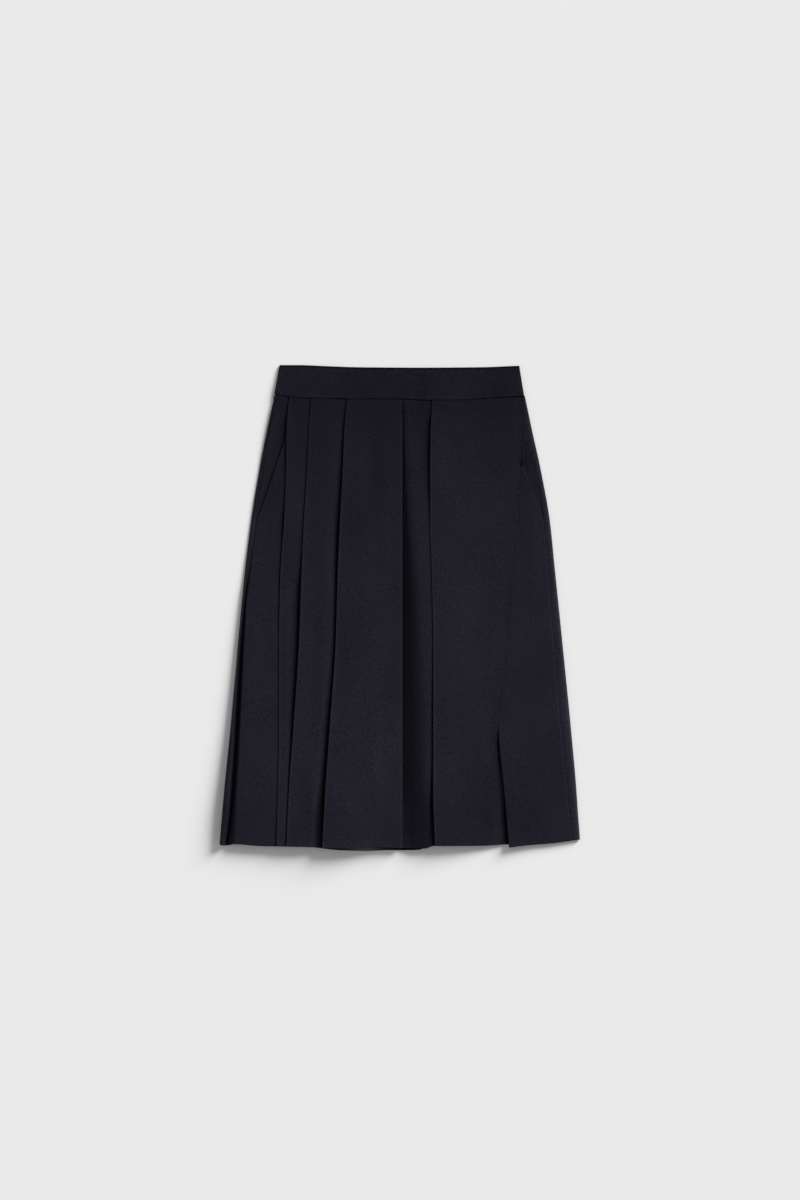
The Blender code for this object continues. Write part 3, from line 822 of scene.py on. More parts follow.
@dataclass(frozen=True)
class WoolFinish:
    """Worsted wool as one piece of the skirt shows it."""

    name: str
    dark: Colour
    light: Colour
    # the colour of the painted highlight along pressed fold edges
    pressed: Colour
    roughness: float = 0.7
    specular: float = 0.045
    specular_tint: Colour = (0.80, 0.82, 1.0)
    sheen: float = 0.006
    sheen_roughness: float = 0.45
    sheen_tint: Colour = (0.72, 0.74, 1.0)
    pitch: float = 0.0006
    slubs: float = 1.45
    patches: float = 0.5
    ribs: float = 0.5  # how much the twill's height changes the colour
    relief: float = 0.25
    relief_depth: float = 0.00012

    def material(self) -> bpy.types.Material:
        """The finish as a node material, built the first time that it is asked for.

        Returns:
            The material.
        """
        if self.name in bpy.data.materials:
            return bpy.data.materials[self.name]
        made = bpy.data.materials.new(self.name)
        made.use_nodes = True
        tree, groups = made.node_tree, bpy.data.node_groups
        cloth = add_node(tree, "UVMap", uv_map="cloth")
        twill = add_node(tree, "Group", {"Pitch": self.pitch, "Cloth": cloth.outputs["UV"]},
                         node_tree=groups["wool_twill"])
        melange = add_node(tree, "Group", {"Slubs": self.slubs, "Patches": self.patches},
                           node_tree=groups["wool_melange"])
        height = twill.outputs["Height"]
        ribs = math_node(tree, "MULTIPLY", math_node(tree, "SUBTRACT", height, 0.5), self.ribs)
        tone = math_node(tree, "ADD", melange.outputs["Tone"], ribs)
        mixed = mix_node(tree, tone, (*self.dark, 1.0), (*self.light, 1.0))
        # painted highlight along the fold edges
        painted_highlight = add_node(tree, "Attribute", attribute_name="painted_highlight")
        highlighted = mix_node(tree, painted_highlight.outputs["Fac"], mixed, (*self.pressed, 1.0))
        # painted light and shade, from the tone attribute, scale the colour
        painted_shading = add_node(tree, "Attribute", attribute_name="tone")
        toned = add_node(tree, "VectorMath", {"Vector": highlighted, "Scale": painted_shading.outputs["Fac"]},
                         operation="SCALE")
        bump = add_node(tree, "Bump", {"Strength": self.relief, "Distance": self.relief_depth,
                                       "Height": height})
        feed(tree, tree.nodes["Principled BSDF"], {
            "Base Color": toned.outputs["Vector"], "Normal": bump.outputs["Normal"],
            "Roughness": self.roughness,
            "Specular IOR Level": self.specular, "Specular Tint": (*self.specular_tint, 1.0),
            "Sheen Weight": self.sheen, "Sheen Roughness": self.sheen_roughness,
            "Sheen Tint": (*self.sheen_tint, 1.0),
        })
        return made


FRONT_WOOL = WoolFinish("navy_wool", (0.0062, 0.0059, 0.0096), (0.0170, 0.0162, 0.0246),
                        (0.0174, 0.0166, 0.0250))
BACK_WOOL = WoolFinish("navy_wool_under", (0.0060, 0.0057, 0.0092), (0.0166, 0.0158, 0.0240),
                       (0.0174, 0.0166, 0.0250))
# The band's wool is darker: painted shade for the weaker sheen of its crosswise grain.
BAND_WOOL = WoolFinish("navy_wool_firm", (0.0049, 0.0046, 0.0076), (0.0127, 0.0121, 0.0190),
                       (0.0160, 0.0153, 0.0230), slubs=2.0, patches=1.0)
INSIDE_WOOL = WoolFinish("navy_wool_inside", (0.024, 0.022, 0.020), (0.038, 0.035, 0.031),
                         (0.036, 0.033, 0.029), roughness=0.8, pitch=0.0008)


# --- cloth pieces ---------------------------------------------------------------
@dataclass
class ClothPiece:
    """A piece of cloth: a thin shell that is lofted through sections down the skirt."""

    cut: Cut
    name: str = ""
    node: str = ""
    slot: str = ""
    flat: tuple[float, float] = (0.0, 0.0)  # the cut's width and length
    share: float = 1.0  # of that rectangle that the cut fills
    rests_on: tuple[str, ...] = ()
    first: float = SEAM_DROP
    last: float = HEM_DROP
    step: float = 4.0
    thickness: float = CLOTH
    outside: WoolFinish = FRONT_WOOL
    inside: WoolFinish = FRONT_WOOL
    creases: tuple[Crease, ...] = ()
    # the painted light and shade on this piece
    painted_shading: PaintedShading = FRONT_PAINTED_SHADING
    hem: Track | None = None
    seam_shade: float = 0.62  # painted shade on the cloth right under the band; below 0 painted light
    inside_out: bool = False

    def section(self, drop: float) -> Section:
        """The line across this piece at one drop."""
        raise NotImplementedError

    def rows(self) -> list[float]:
        """The drops of this piece's rows: close together at its two ends, even between.

        Returns:
            The drops in order, with one at each mark that is clear of the ends.
        """
        upper, lower = self.first + END_ROWS[-1], self.last - END_ROWS[-1]
        stops = sorted({upper, lower, *(m for m in MARKS if upper + 1.0 < m < lower - 1.0)})
        rows = [self.first + end for end in END_ROWS[:-1]]
        for a, b in zip(stops, stops[1:]):
            count = max(1, round((b - a) / self.step))
            rows += [a + (b - a) * i / count for i in range(count)]
        return rows + [self.last - end for end in reversed(END_ROWS)]

    def drop_at(self, x: float, drop: float) -> float:
        """A row's true drop at one x, bent with the seam above it and the hem below.

        Args:
            x: the place across the skirt.
            drop: the row's own drop.

        Returns:
            The drop of that row's cloth at x.
        """
        share = 1.0 - ease(ramp(drop, SEAM_DROP, EASE))
        bent = drop + share * (self.cut.seam.at(x) + SEAM_GAP - SEAM_DROP)
        if self.hem:
            bent += ease(ramp(drop, HEM_DROP - EASE, EASE)) * (self.hem.at(x) - HEM_DROP)
        return bent

    def lift(self, x: float, drop: float) -> float:
        """How far the soft creases lift the cloth at one place of a row."""
        return sum(crease.at(x, drop) for crease in self.creases)

    def shade(self, drop: float) -> float:
        """The share of a row's tone left by the shade painted under the band's edge, on the first rows.
        """
        return 1.0 - self.seam_shade * swell(drop, SEAM_DROP, SHADE_REACH)

    def grid(self) -> bmesh.types.BMesh:
        """The piece's middle surface, with the lengths of its cloth, its painted highlight and its
        painted light and shade.

        Returns:
            A grid through all its sections.
        """
        rows = self.rows()
        lines = [self.section(drop).points() for drop in rows]
        columns = len(lines[0])
        log.info("%s: %d columns, %d rows", self.name, columns, len(rows))
        shell = bmesh.new()
        bmesh.ops.create_grid(shell, x_segments=columns - 1, y_segments=len(rows) - 1, size=1.0)
        cloth = shell.loops.layers.uv.new("cloth")
        # painted highlight along the folds, and the tone that holds all painted light and shade
        painted_highlight = shell.verts.layers.float.new("painted_highlight")
        tone = shell.verts.layers.float.new("tone")
        lengths: dict[int, tuple[float, float]] = {}
        for vert in shell.verts:
            column = round((vert.co.x + 1.0) / 2.0 * (columns - 1))
            row = round((1.0 - vert.co.y) / 2.0 * (len(rows) - 1))
            drop, spot = rows[row], lines[row][column]
            true = self.drop_at(spot.x, drop)
            vert.co = Vector((spot.x, LENGTH / 2 - true, spot.z + self.lift(spot.x, drop))) * MM
            vert[painted_highlight] = spot.painted_highlight
            # painted light and shade: the patches, the painted shade under the band, and the painted
            # shade in the folds
            painted_shading = self.painted_shading.at(spot.x, true) * self.shade(drop)
            vert[tone] = painted_shading * max(1.0 - PAINTED_SHADE_DEPTH * spot.painted_shade, DARKEST)
            middle = lines[row][columns // 2].run
            lengths[vert.index] = ((spot.run - middle) * MM, -drop * MM)
        for face in shell.faces:
            face.smooth = True
            for loop in face.loops:
                loop[cloth].uv = lengths[loop.vert.index]
        if self.inside_out:
            bmesh.ops.reverse_faces(shell, faces=shell.faces)
        return shell

    def build(self) -> bpy.types.Object:
        """Returns:
            The finished piece.
        """
        piece = new_object(self.name, self.grid())
        for finish in (self.outside, self.inside):
            piece.data.materials.append(finish.material())
        wall = piece.modifiers.new("cloth", "SOLIDIFY")
        wall.thickness = self.thickness * MM
        wall.offset = 0.0
        wall.use_even_offset = True
        wall.thickness_clamp = 0.0
        wall.material_offset = 1
        self.declare(piece)
        return piece

    def declare(self, piece: bpy.types.Object) -> None:
        """Ties the piece to the frame and hides the part that it stands for.

        Args:
            piece: the finished piece.
        """
        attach(piece, BODY)
        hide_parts(self.node)


@dataclass
class PleatedFront(ClothPiece):
    """The front from its left edge to the princess seam, with all its pleats."""

    name: str = "skirt_front"
    node: str = "front_pleated"
    slot: str = "wool_front"
    flat: tuple[float, float] = (690.0, 680.0)
    share: float = 0.9
    rests_on: tuple[str, ...] = ("skirt_back", "skirt_hip_left", "skirt_hip_right")
    creases: tuple[Crease, ...] = FRONT_CREASES
    hem: Track | None = FRONT_HEM
    seam_shade: float = 0.86
    middle: float = -42.0  # x half way across the plain panel in the middle
    edge_light: float = 0.25  # how much more light a pleat's edge catches
    fade: float = 1.4  # how far the deep shade beside a pleat fades out
    lower_run: Run = (POCKET_TOP, 24.0)  # where the cloth that pleat 1 lies on comes out
    lower_room: float = 9.0  # and how far it comes

    bed: tuple[tuple[float, float, float, float], ...] = (
        # share of its slope, climb, painted shade half way down and at the hem
        (0.0, 0.05, 0.42, 0.05), (0.1, 0.14, 0.30, 0.05), (0.35, 0.48, 0.38, 0.40),
        (0.65, 0.85, 0.50, 0.52), (0.82, 0.93, 0.61, 0.58), (1.0, 0.97, 0.51, 0.50),
    )
    bed_end: tuple[float, float] = (0.08, 0.30)  # its painted shade where it is level
    bed_run: Run = (180.0, 90.0)  # where the bed's painted shade deepens
    level_run: Run = (300.0, 100.0)  # where its level part takes its painted shade
    hem_run: Run = (640.0, 60.0)  # where both change to what they are at the hem

    valley_gap: float = 0.75  # height of the left edge over the back's tuck
    turn: float = 0.9  # how far the edge turns down beside the pocket
    free_run: Run = (313.0, 60.0)  # where the left edge comes free of the back
    edge_painted_shade: float = 0.25  # painted shade of the left edge beside the pocket

    kick_parting: float = 13.0  # length over which the flap rises off its underlay
    kick_ramp: float = 14.0  # and over which the underlay grows to its full width
    kick_sink: float = 0.5  # share of its height that the underlay loses there
    kick_floor: float = 2.2  # height that it would sink to
    seam_light: tuple[float, float, float] = (0.1, 0.4, 0.1)  # how the seam catches the light
    hip_run: Run = (80.0, 150.0)  # where the second of these fades
    plain_run: Run = (240.0, 60.0)  # and where the third is taken off

    def section(self, drop: float) -> Section:
        """The front at one drop, from its left edge to the right.

        Args:
            drop: the distance down from the waist edge.

        Returns:
            The section.
        """
        made = Section()
        line, height = self.cut.line.at(drop), self.cut.height.at(drop)
        stand, depth, core = self.cut.stand.at(drop), self.cut.depth.at(drop), self.cut.core.at(drop)
        near = self.left_edge(made, drop)
        start = max(line.pleat_1 + 1.2 - self.lower_room * ramp(drop, *self.lower_run), near)
        self.pleat(made, line.pleat_1, depth.pleat_1, height.under_1, stand.pleat_1, height.over_1,
                   (8, 3, 4), core.pleat_1, start, core.soft_1)
        self.pleat(made, line.pleat_2, depth.pleat_2, height.under_2, stand.pleat_2, height.over_2,
                   (4, 5, 5), core.pleat_2, soft=core.soft_2)
        between = (line.pleat_2 + depth.pleat_2 + line.pleat_3) / 2
        made.to(between, height.over_2 * 0.6 + height.under_3 * 0.4, 4)
        self.pleat(made, line.pleat_3, depth.pleat_3, height.under_3, stand.pleat_3, height.over_3,
                   (5, 5, 5), core.pleat_3, soft=core.soft_3)
        made.to(self.middle, height.mid_3, 9)
        self.box(made, drop, line, height, depth)
        self.pleat(made, line.box_edge, depth.box_edge, height.crest - 0.2, stand.box_edge,
                   height.over_5, (4, 5, 5), core.box_edge)
        over = line.box_edge + depth.box_edge
        made.to(over * 0.5 + line.princess * 0.5, height.mid_4, 6)
        made.to(line.princess - 14.0, height.low_4, 5)
        self.right_edge(made, drop, line, height, core.flap)
        return made

    def box(self, made: Section, drop: float, line: Line, height: Height, depth: Depth) -> None:
        """The box pleat's straight fold, the cloth behind it, and its bed.

        Args:
            made: the section that it is added to.
            drop: the section's drop.
            line: the skirt's lines at that drop.
            height: its heights there.
            depth: how far its pleats run back there.
        """
        bay = BOX_FOLD - depth.box_fold
        top = height.box
        made.to(bay, top + 0.2, 6)
        # Painted shade behind the straight fold and down the bed's climb.
        made.fold(BOX_FOLD, top, top - LAYER, Side.RIGHT, 6, (0.06, 1.0))
        made.fold(bay - 2.0, top - LAYER + 0.1, max(top - 2 * LAYER + 0.1, 1.9), Side.LEFT, 5)
        made.to(BOX_FOLD - 3.0, height.valley - 0.1, 5, painted_shade=1.0)
        rise = height.crest - height.valley
        deep, low = 0.5 + 0.5 * ramp(drop, *self.bed_run), ramp(drop, *self.hem_run)
        for share, climb, painted_shade, hem_painted_shade in self.bed:
            made.to(BOX_FOLD + share * depth.bed_steep, height.valley + climb * rise, 3,
                    painted_shade=painted_shade * deep * (1.0 - low) + hem_painted_shade * low)
        level = min(BOX_FOLD + depth.bed_slope, line.box_edge - 4.0)
        painted_shade, hem_painted_shade = self.bed_end
        made.to(level, height.crest, 4, LEVEL,
                painted_shade=painted_shade * ramp(drop, *self.level_run) * (1.0 - low) + hem_painted_shade * low)

    def pleat(self, made: Section, x: float, depth: float, under: float, stand: float, over: float,
              parts: tuple[int, int, int], core: float, start: float = -math.inf,
              soft: float = 0.0) -> None:
        """A knife pleat that lies to the right: its hidden fold, then its edge.

        Args:
            made: the section that it is added to.
            x: the pleat's edge.
            depth: how far the cloth runs back under the panel.
            under: height of the cloth that the edge lies on.
            stand: how far the edge stands over that.
            over: height of the panel over the hidden fold.
            parts: pieces up to the edge's place, to the hidden fold, and back.
            core: how far the deep shade shows beside the edge.
            start: the leftmost place that the lower layer may have under the edge.
            soft: how far a softer shade goes on beyond that.
        """
        top = under + stand
        open_end = max(x - self.fade - core, start)
        deep_end = max(x - core + 0.1, open_end + 0.3)
        # Painted shade beside the edge, darkest next to it; the edge itself gets a painted highlight.
        made.to(open_end - max(soft, 0.4), under, parts[0])
        made.to(open_end, under, 2, painted_shade=0.5 * min(soft / 4.0, 1.0))
        made.to(deep_end, under, 2, painted_shade=0.95)
        made.to(max(x + 0.4, deep_end + 0.3), under, 2, painted_shade=1.04)
        made.fold(x + depth, over - 2 * LAYER, over - LAYER, Side.RIGHT, parts[1])
        made.fold(x, top - LAYER, top, Side.LEFT, parts[2], (1.0, -self.edge_light))
        made.to(x + 4.0, top + 0.12 * (over - top) - 0.02, 3)
        made.to(x + depth + 1.0, over, parts[1])

    def left_edge(self, made: Section, drop: float) -> float:
        """The left edge, turned in at the pocket and rounded into the side below it.

        Args:
            made: the section that it is added to.
            drop: the section's drop.

        Returns:
            How far to the right the next stretch may start.
        """
        line, height, roll = self.cut.line.at(drop), self.cut.height.at(drop), self.cut.roll.at(drop)
        seam = self.cut.left_mouth(drop) if drop < POCKET_END else line.left_seam + SEAM_GAP / 2
        edge = seam + CLOTH / 2
        deep = ease(ramp(drop, *self.free_run))
        flush = ramp(drop, POCKET_END - 1.0, 1.0)
        glow = swell(drop, *LEFT_SEAM_LIGHT)
        tip = (self.turn + flush * (height.left - roll.left_end - self.turn)
               - (CLOTH + self.valley_gap) * deep)
        # Painted shade on the left edge, and a painted highlight on it just below the pocket.
        made.to(edge, height.left - tip, 1, (0.0, 1.0), 0.4,
                self.edge_painted_shade - (0.65 + 0.5 * glow) * flush * (1 - deep) + 0.7 * deep)
        made.to(edge + 0.12 * height.roll, height.left - 0.55 * tip, 3,
                painted_shade=0.45 * deep - 0.5 * glow * flush)
        made.to(edge + height.roll, height.left, 8, LEVEL, 0.1)
        return edge + height.roll + 3.0

    def right_edge(self, made: Section, drop: float, line: Line, height: Height,
                   core: float) -> None:
        """The right edge: turned in at the princess seam, then the kick pleat's underlay.

        Args:
            made: the section that it is added to.
            drop: the section's drop.
            line: the skirt's lines at that drop.
            height: its heights there.
            core: how far the deep shade of the flap shows.
        """
        opened = ramp(drop, KICK_TOP, 8.0)
        out = (KICK_UNDERLAY + SEAM_GAP) * ramp(drop, KICK_TOP + self.kick_parting, self.kick_ramp)
        end = line.princess - SEAM_GAP / 2 + out
        sunk = self.kick_sink * ramp(drop, KICK_TOP, 20.0) * (height.princess - self.kick_floor)
        z = height.princess - sunk
        made.to(line.princess - 5.0, z + 0.2, 3)
        made.to(line.princess - 1.6 - core, z + 0.1, 2)
        # Painted shade beside the flap, and a painted highlight along the princess seam above it.
        made.to(line.princess - 0.3 - core, z, 2, painted_shade=0.85 * opened)
        plain, hip, low = self.seam_light
        bright = plain + hip * (1.0 - ramp(drop, *self.hip_run)) - low * ramp(drop, *self.plain_run)
        painted_shade = opened - bright * (1.0 - opened)
        made.to(max(end - 1.0, line.princess - 0.25), z, 4, painted_shade=painted_shade)
        made.to(end, z - 0.1 * opened, 2, painted_shade=painted_shade)


@dataclass
class FrontSide(ClothPiece):
    """The front side panel, from the princess seam and kick pleat to the side seam."""

    name: str = "skirt_front_side"
    node: str = "front_side"
    slot: str = "wool_front"
    flat: tuple[float, float] = (112.0, 575.0)
    share: float = 0.62
    rests_on: tuple[str, ...] = ("skirt_front", "skirt_hip_right", "skirt_back")
    first: float = SIDE_TOP
    creases: tuple[Crease, ...] = SIDE_CREASES
    hem: Track | None = SIDE_HEM
    flap_run: Run = (KICK_TOP, 10.0)  # where its left edge comes free as the flap
    seam_run: Run = (POCKET_END, 60.0)  # where its right edge starts to catch the light

    def section(self, drop: float) -> Section:
        """The side panel at one drop, from the princess seam to the right.

        Args:
            drop: the distance down from the waist edge.

        Returns:
            The section.
        """
        made = Section()
        line, height = self.cut.line.at(drop), self.cut.side.at(drop)
        left = line.princess + SEAM_GAP / 2
        free = ramp(drop, *self.flap_run)
        right = self.cut.right_mouth(drop) if drop < POCKET_END else line.right_seam - SEAM_GAP / 2
        room = right - left
        made.to(left, height.left - 0.04 - 0.6 * free, 1, (0.5, 0.8) if free else None,
                0.1 + 0.5 * free)
        made.to(left + min(1.2, 0.2 * room), height.left, 3, LEVEL, 0.4 * free)
        levels = ((height.left + height.mid) / 2, height.mid, (height.mid + height.right) / 2)
        for quarter, level in enumerate(levels, 1):
            made.to(left + quarter / 4 * room, level, 4)
        # A painted highlight along the right edge below the pocket.
        seam = ramp(drop, *self.seam_run)
        made.to(right - min(2.4, 0.2 * room), height.right, 4, LEVEL)
        made.to(right - min(1.0, 0.1 * room), height.right, 2, LEVEL, painted_shade=-0.3 * seam)
        made.to(right, height.right - 0.35, 3, (0.6, -0.7), 0.2, painted_shade=-0.2 * seam)
        return made


@dataclass
class HipLeft(ClothPiece):
    """The left hip piece, from the side seam to just under the pocket mouth."""

    name: str = "skirt_hip_left"
    node: str = "hip_left"
    slot: str = "wool_front"
    flat: tuple[float, float] = (50.0, 182.0)
    share: float = 0.46
    rests_on: tuple[str, ...] = ("skirt_back",)
    last: float = POCKET_END - 6.0
    # Painted light, not shade, on the cloth right under the band.
    seam_shade: float = -0.6
    underlay: float = 5.0
    underlay_run: Run = (92.0, 12.0)  # where the underlay grows to its full width
    level: float = 1.9  # height of the cloth under the mouth
    top_rise: float = 1.3  # and how much higher it is at the band
    bulge: float = 1.2  # and higher still half way across
    mouth_shade: float = 0.75
    mouth_run: Run = (POCKET_TOP, 6.0)
    pleat_shade: float = 0.97  # painted shade beside pleat 1, above the mouth
    pleat_run: Run = (SEAM_DROP + 10.0, 14.0)
    pleat_end: Run = (POCKET_TOP + 1.0, 6.0)
    seam_light: float = 0.25  # how much the side seam's edge catches the light
    light: Spread = (112.0, 36.0)

    def section(self, drop: float) -> Section:
        """The hip piece at one drop, from the side seam to the right.

        Args:
            drop: the distance down from the waist edge.

        Returns:
            The section.
        """
        made = Section()
        line = self.cut.line.at(drop)
        left, left_z = line.left_seam + SEAM_GAP / 2, self.cut.roll.at(drop).left_end
        hidden = (self.underlay + SEAM_GAP) * ramp(drop, *self.underlay_run)
        mouth = self.cut.left_mouth(drop) - SEAM_GAP
        room = mouth - left
        bulge = self.bulge * (1.0 - ease(ramp(drop, SEAM_DROP, 30.0)))
        above = ramp(drop, *self.pleat_run) * (1.0 - ramp(drop, *self.pleat_end))
        # Painted shade beside the mouth and pleat 1, and a painted highlight at the side seam.
        dark = max(self.mouth_shade * ramp(drop, *self.mouth_run), self.pleat_shade * above)
        beside = above * (mouth - line.pleat_1 + 0.3)
        lit = self.seam_light * swell(drop, *self.light)
        made.to(left, left_z - 0.3, 1, (0.7, 0.7), 0.2, -1.4 * lit)
        made.to(left + 0.12 * room, left_z + 0.1 + 0.6 * bulge, 3, painted_shade=-0.6 * lit)
        level = self.level + self.top_rise * (1.0 - ease(ramp(drop, SEAM_DROP, 50.0)))
        made.to(left + 0.5 * room, level + 0.2 * (left_z - level) + bulge, 4)
        made.to(mouth - min(1.9, 0.3 * room) - beside, level, 3)
        made.to(mouth - min(0.9, 0.15 * room) - beside, level, 1, painted_shade=dark)
        made.to(mouth + hidden, level, 3, LEVEL, painted_shade=dark)
        return made


@dataclass
class HipRight(ClothPiece):
    """The right hip piece, from the princess seam or under the mouth to the side seam."""

    name: str = "skirt_hip_right"
    node: str = "hip_right"
    slot: str = "wool_front"
    flat: tuple[float, float] = (34.0, 180.0)
    share: float = 0.5
    rests_on: tuple[str, ...] = ("skirt_back",)
    last: float = POCKET_END - 6.0
    underlay: float = 14.0
    hidden_run: Run = (SIDE_TOP - 14.0, 10.0)  # where its left edge goes under the mouth
    low: tuple[float, float] = (3.4, 2.2)  # its height in the open, and under the mouth
    hidden_z: float = 1.9
    dark: Spread = (214.0, 38.0)

    def section(self, drop: float) -> Section:
        """The hip piece at one drop, from its left edge to the side seam.

        Args:
            drop: the distance down from the waist edge.

        Returns:
            The section.
        """
        made = Section()
        line, right_z = self.cut.line.at(drop), self.cut.roll.at(drop).right_end
        right = line.right_seam - SEAM_GAP / 2
        hidden = ramp(drop, *self.hidden_run)
        left = line.princess + SEAM_GAP / 2 + 1.6 * hidden
        left_z = self.cut.height.at(drop).princess * (1 - hidden) + self.hidden_z * hidden
        if drop > SIDE_TOP:
            left = max(left, self.cut.right_mouth(drop) - self.underlay)
        low = self.low[1] * hidden + self.low[0] * (1 - hidden)
        made.to(left, left_z, 1)
        made.to(left * 0.6 + right * 0.4, low * 0.8 + right_z * 0.2, 5)
        made.to(left * 0.25 + right * 0.75, low * 0.3 + right_z * 0.7, 4)
        made.to(right - 0.8, right_z, 3)
        # Painted shade and a painted highlight at the side seam.
        made.to(right, right_z, 2,
                painted_shade=swell(drop, *self.dark) - 0.5 * swell(drop, *RIGHT_HIP_LIGHT))
        return made


@dataclass
class BackPanel(ClothPiece):
    """The back: flat on the surface, folded round both sides to the side seams."""

    name: str = "skirt_back"
    node: str = "back_panel"
    slot: str = "wool_back"
    flat: tuple[float, float] = (575.0, 682.0)
    share: float = 0.86
    rests_on: tuple[str, ...] = ("the surface",)
    step: float = 5.0
    outside: WoolFinish = BACK_WOOL
    inside: WoolFinish = INSIDE_WOOL
    creases: tuple[Crease, ...] = BACK_CREASES
    painted_shading: PaintedShading = BACK_PAINTED_SHADING
    hem: Track | None = BACK_HEM
    inside_out: bool = True
    fold_rise: float = 1.6  # between the two layers of the left fold
    groove_run: Run = (290.0, 70.0)  # where the painted shade in the groove beside the left seam deepens
    seam_light: float = 0.7
    dark: Spread = (218.0, 34.0)  # the shade beside the right seam

    def section(self, drop: float) -> Section:
        """The back at one drop, from the left side seam under the skirt to the right one.

        Args:
            drop: the distance down from the waist edge.

        Returns:
            The section.
        """
        made = Section()
        line, roll = self.cut.line.at(drop), self.cut.roll.at(drop)
        self.left_fold(made, drop, line, roll)
        right_flat = line.right - CLOTH / 2 - roll.right_radius
        made.to(right_flat - 1.0, REST, 60, LEVEL)
        crest = REST + 2 * roll.right_radius
        # Painted shade under the right roll, a painted highlight along it, and painted shade at the
        # seam.
        made.fold(line.right, REST, crest, Side.RIGHT, 1, (2.4, -1.1))
        end = line.right_seam + SEAM_GAP / 2
        room = right_flat - end
        dark, hip = swell(drop, *self.dark), swell(drop, *RIGHT_HIP_LIGHT)
        made.to(end + 0.68 * room, 0.75 * crest + 0.25 * roll.right_end, 2,
                painted_shade=-0.55 - 0.5 * hip)
        made.to(end + min(3.0, 0.4 * room), (crest + roll.right_end) / 2, 2,
                painted_shade=-0.15 - 0.75 * hip)
        made.to(end + min(1.0, 0.18 * room), roll.right_end, 2,
                painted_shade=0.4 * dark - 0.1 - 0.7 * hip)
        made.to(end, roll.right_end, 2, painted_shade=dark - 0.5 * hip)
        return made

    def left_fold(self, made: Section, drop: float, line: Line, roll: Roll) -> None:
        """The fold at the left side, from the side seam down to the surface.

        Args:
            made: the section that it is added to.
            drop: the section's drop.
            line: the skirt's lines at that drop.
            roll: the shape of its side folds there.
        """
        seam, top, end = line.left_seam, roll.left_top, roll.left_end
        deep = ease(ramp(drop, *self.groove_run))
        glow = self.seam_light * swell(drop, *LEFT_SEAM_LIGHT)
        # Painted shade in the groove beside the left seam, with a painted highlight below the pocket,
        # and under the left fold.
        made.to(seam + roll.left_tuck, end, 1, (-1.0, 0.0), painted_shade=deep - glow)
        made.to(seam - 0.5, end, 3, painted_shade=0.95 * deep - glow)
        foot = line.left + roll.left_lip + 0.35 * (top - end) + 1.0
        made.to(min(foot, seam - 0.9), end + 0.25, 4, painted_shade=0.7 * deep)
        made.to(min(line.left + roll.left_lip, seam - 1.8), end + 0.9 * (top - end), 4)
        under = max(top - self.fold_rise, REST)
        made.fold(line.left, top, under, Side.LEFT, 4, (0.0, 0.6))
        made.to(line.left + 0.45 * roll.left_run, REST + 0.42 * (under - REST), 3)
        made.to(line.left + roll.left_run, REST, 4, LEVEL)


@dataclass
class Band(ClothPiece):
    """One half of the waistband: firm folded cloth, turned in all round."""

    slot: str = "wool_band"
    flat: tuple[float, float] = (378.0, 52.0)
    share: float = 0.94
    first: float = 0.0
    last: float = 1.0
    thickness: float = 1.1
    outside: WoolFinish = BAND_WOOL
    inside: WoolFinish = BAND_WOOL
    painted_shading: PaintedShading = BAND_PAINTED_SHADING
    top_z: float = 3.2  # height at the waist edge
    low_z: float = 4.9  # and at the seam
    meet: float = 2.1  # height where the two halves meet at the sides
    ledge: float = 0.0  # how far the waist edge lies below the back half's
    edge_shade: float = 0.04  # share of its depth that is in shade at the waist edge
    pressed: Spread = (0.965, 0.02)  # painted highlight on the strip above the seam
    bend: float = 0.9
    round_off: float = 0.7  # how far the waist edge and the seam edge turn down
    left: tuple[float, float] = (-180.0, -187.6)
    right: tuple[float, float] = (180.0, 187.2)
    top: Track = WAIST_TOP

    def rows(self) -> list[float]:
        """Shares of the band's depth, close together at both edges."""
        ends = [0.0, 0.006, 0.02, 0.05, 0.1]
        return ends + [0.1 + 0.8 * i / 8 for i in range(1, 8)] + [1.0 - e for e in reversed(ends)]

    def section(self, drop: float) -> Section:
        """Across the band at one share of its depth.

        Args:
            drop: the share, from 0 at the waist edge to 1 at the seam.

        Returns:
            The section.
        """
        made = Section()
        fall = math.exp(-drop / 0.02) + 0.6 * math.exp(-(1 - drop) / 0.015)
        # Painted shade along the waist edge and the seam edge, and a painted highlight above the seam.
        painted_shade = swell(drop, 0.0, self.edge_shade) + 0.5 * swell(drop, 1.0, 0.006)
        painted_shade -= 0.35 * swell(drop, *self.pressed)
        way = 1.0 if self.top_z > self.meet else -1.0
        z = self.top_z + drop * (self.low_z - self.top_z) - way * self.round_off * min(fall, 1.0)
        left = self.left[0] + drop * (self.left[1] - self.left[0]) + self.thickness / 2
        right = self.right[0] + drop * (self.right[1] - self.right[0]) - self.thickness / 2
        bend = min(self.bend, abs(z - self.meet))
        for x, height, parts, heading in (
                (left, self.meet, 1, (0.0, way)), (left, z - way * bend, 1, (0.0, way)),
                (left + bend, z, 4, LEVEL), (right - bend, z, 90, LEVEL),
                (right, z - way * bend, 4, (0.0, -way)), (right, self.meet, 1, (0.0, -way))):
            made.to(x, height, parts, heading, 0.2, painted_shade)
        return made

    def shade(self, drop: float) -> float:
        """The band has no other edge over it."""
        return 1.0

    def drop_at(self, x: float, drop: float) -> float:
        """The true drop of a share of the band's depth at one x.

        Args:
            x: the place across the skirt.
            drop: the share of the depth.

        Returns:
            The drop of that row's cloth at x.
        """
        upper = self.top.at(x) + self.ledge
        lower = self.cut.seam.at(x) - SEAM_GAP / 2
        return upper + drop * (lower - upper)

    def lift(self, x: float, drop: float) -> float:
        """How far the soft creases lift the band at one place of a row."""
        return super().lift(x, self.drop_at(x, drop))


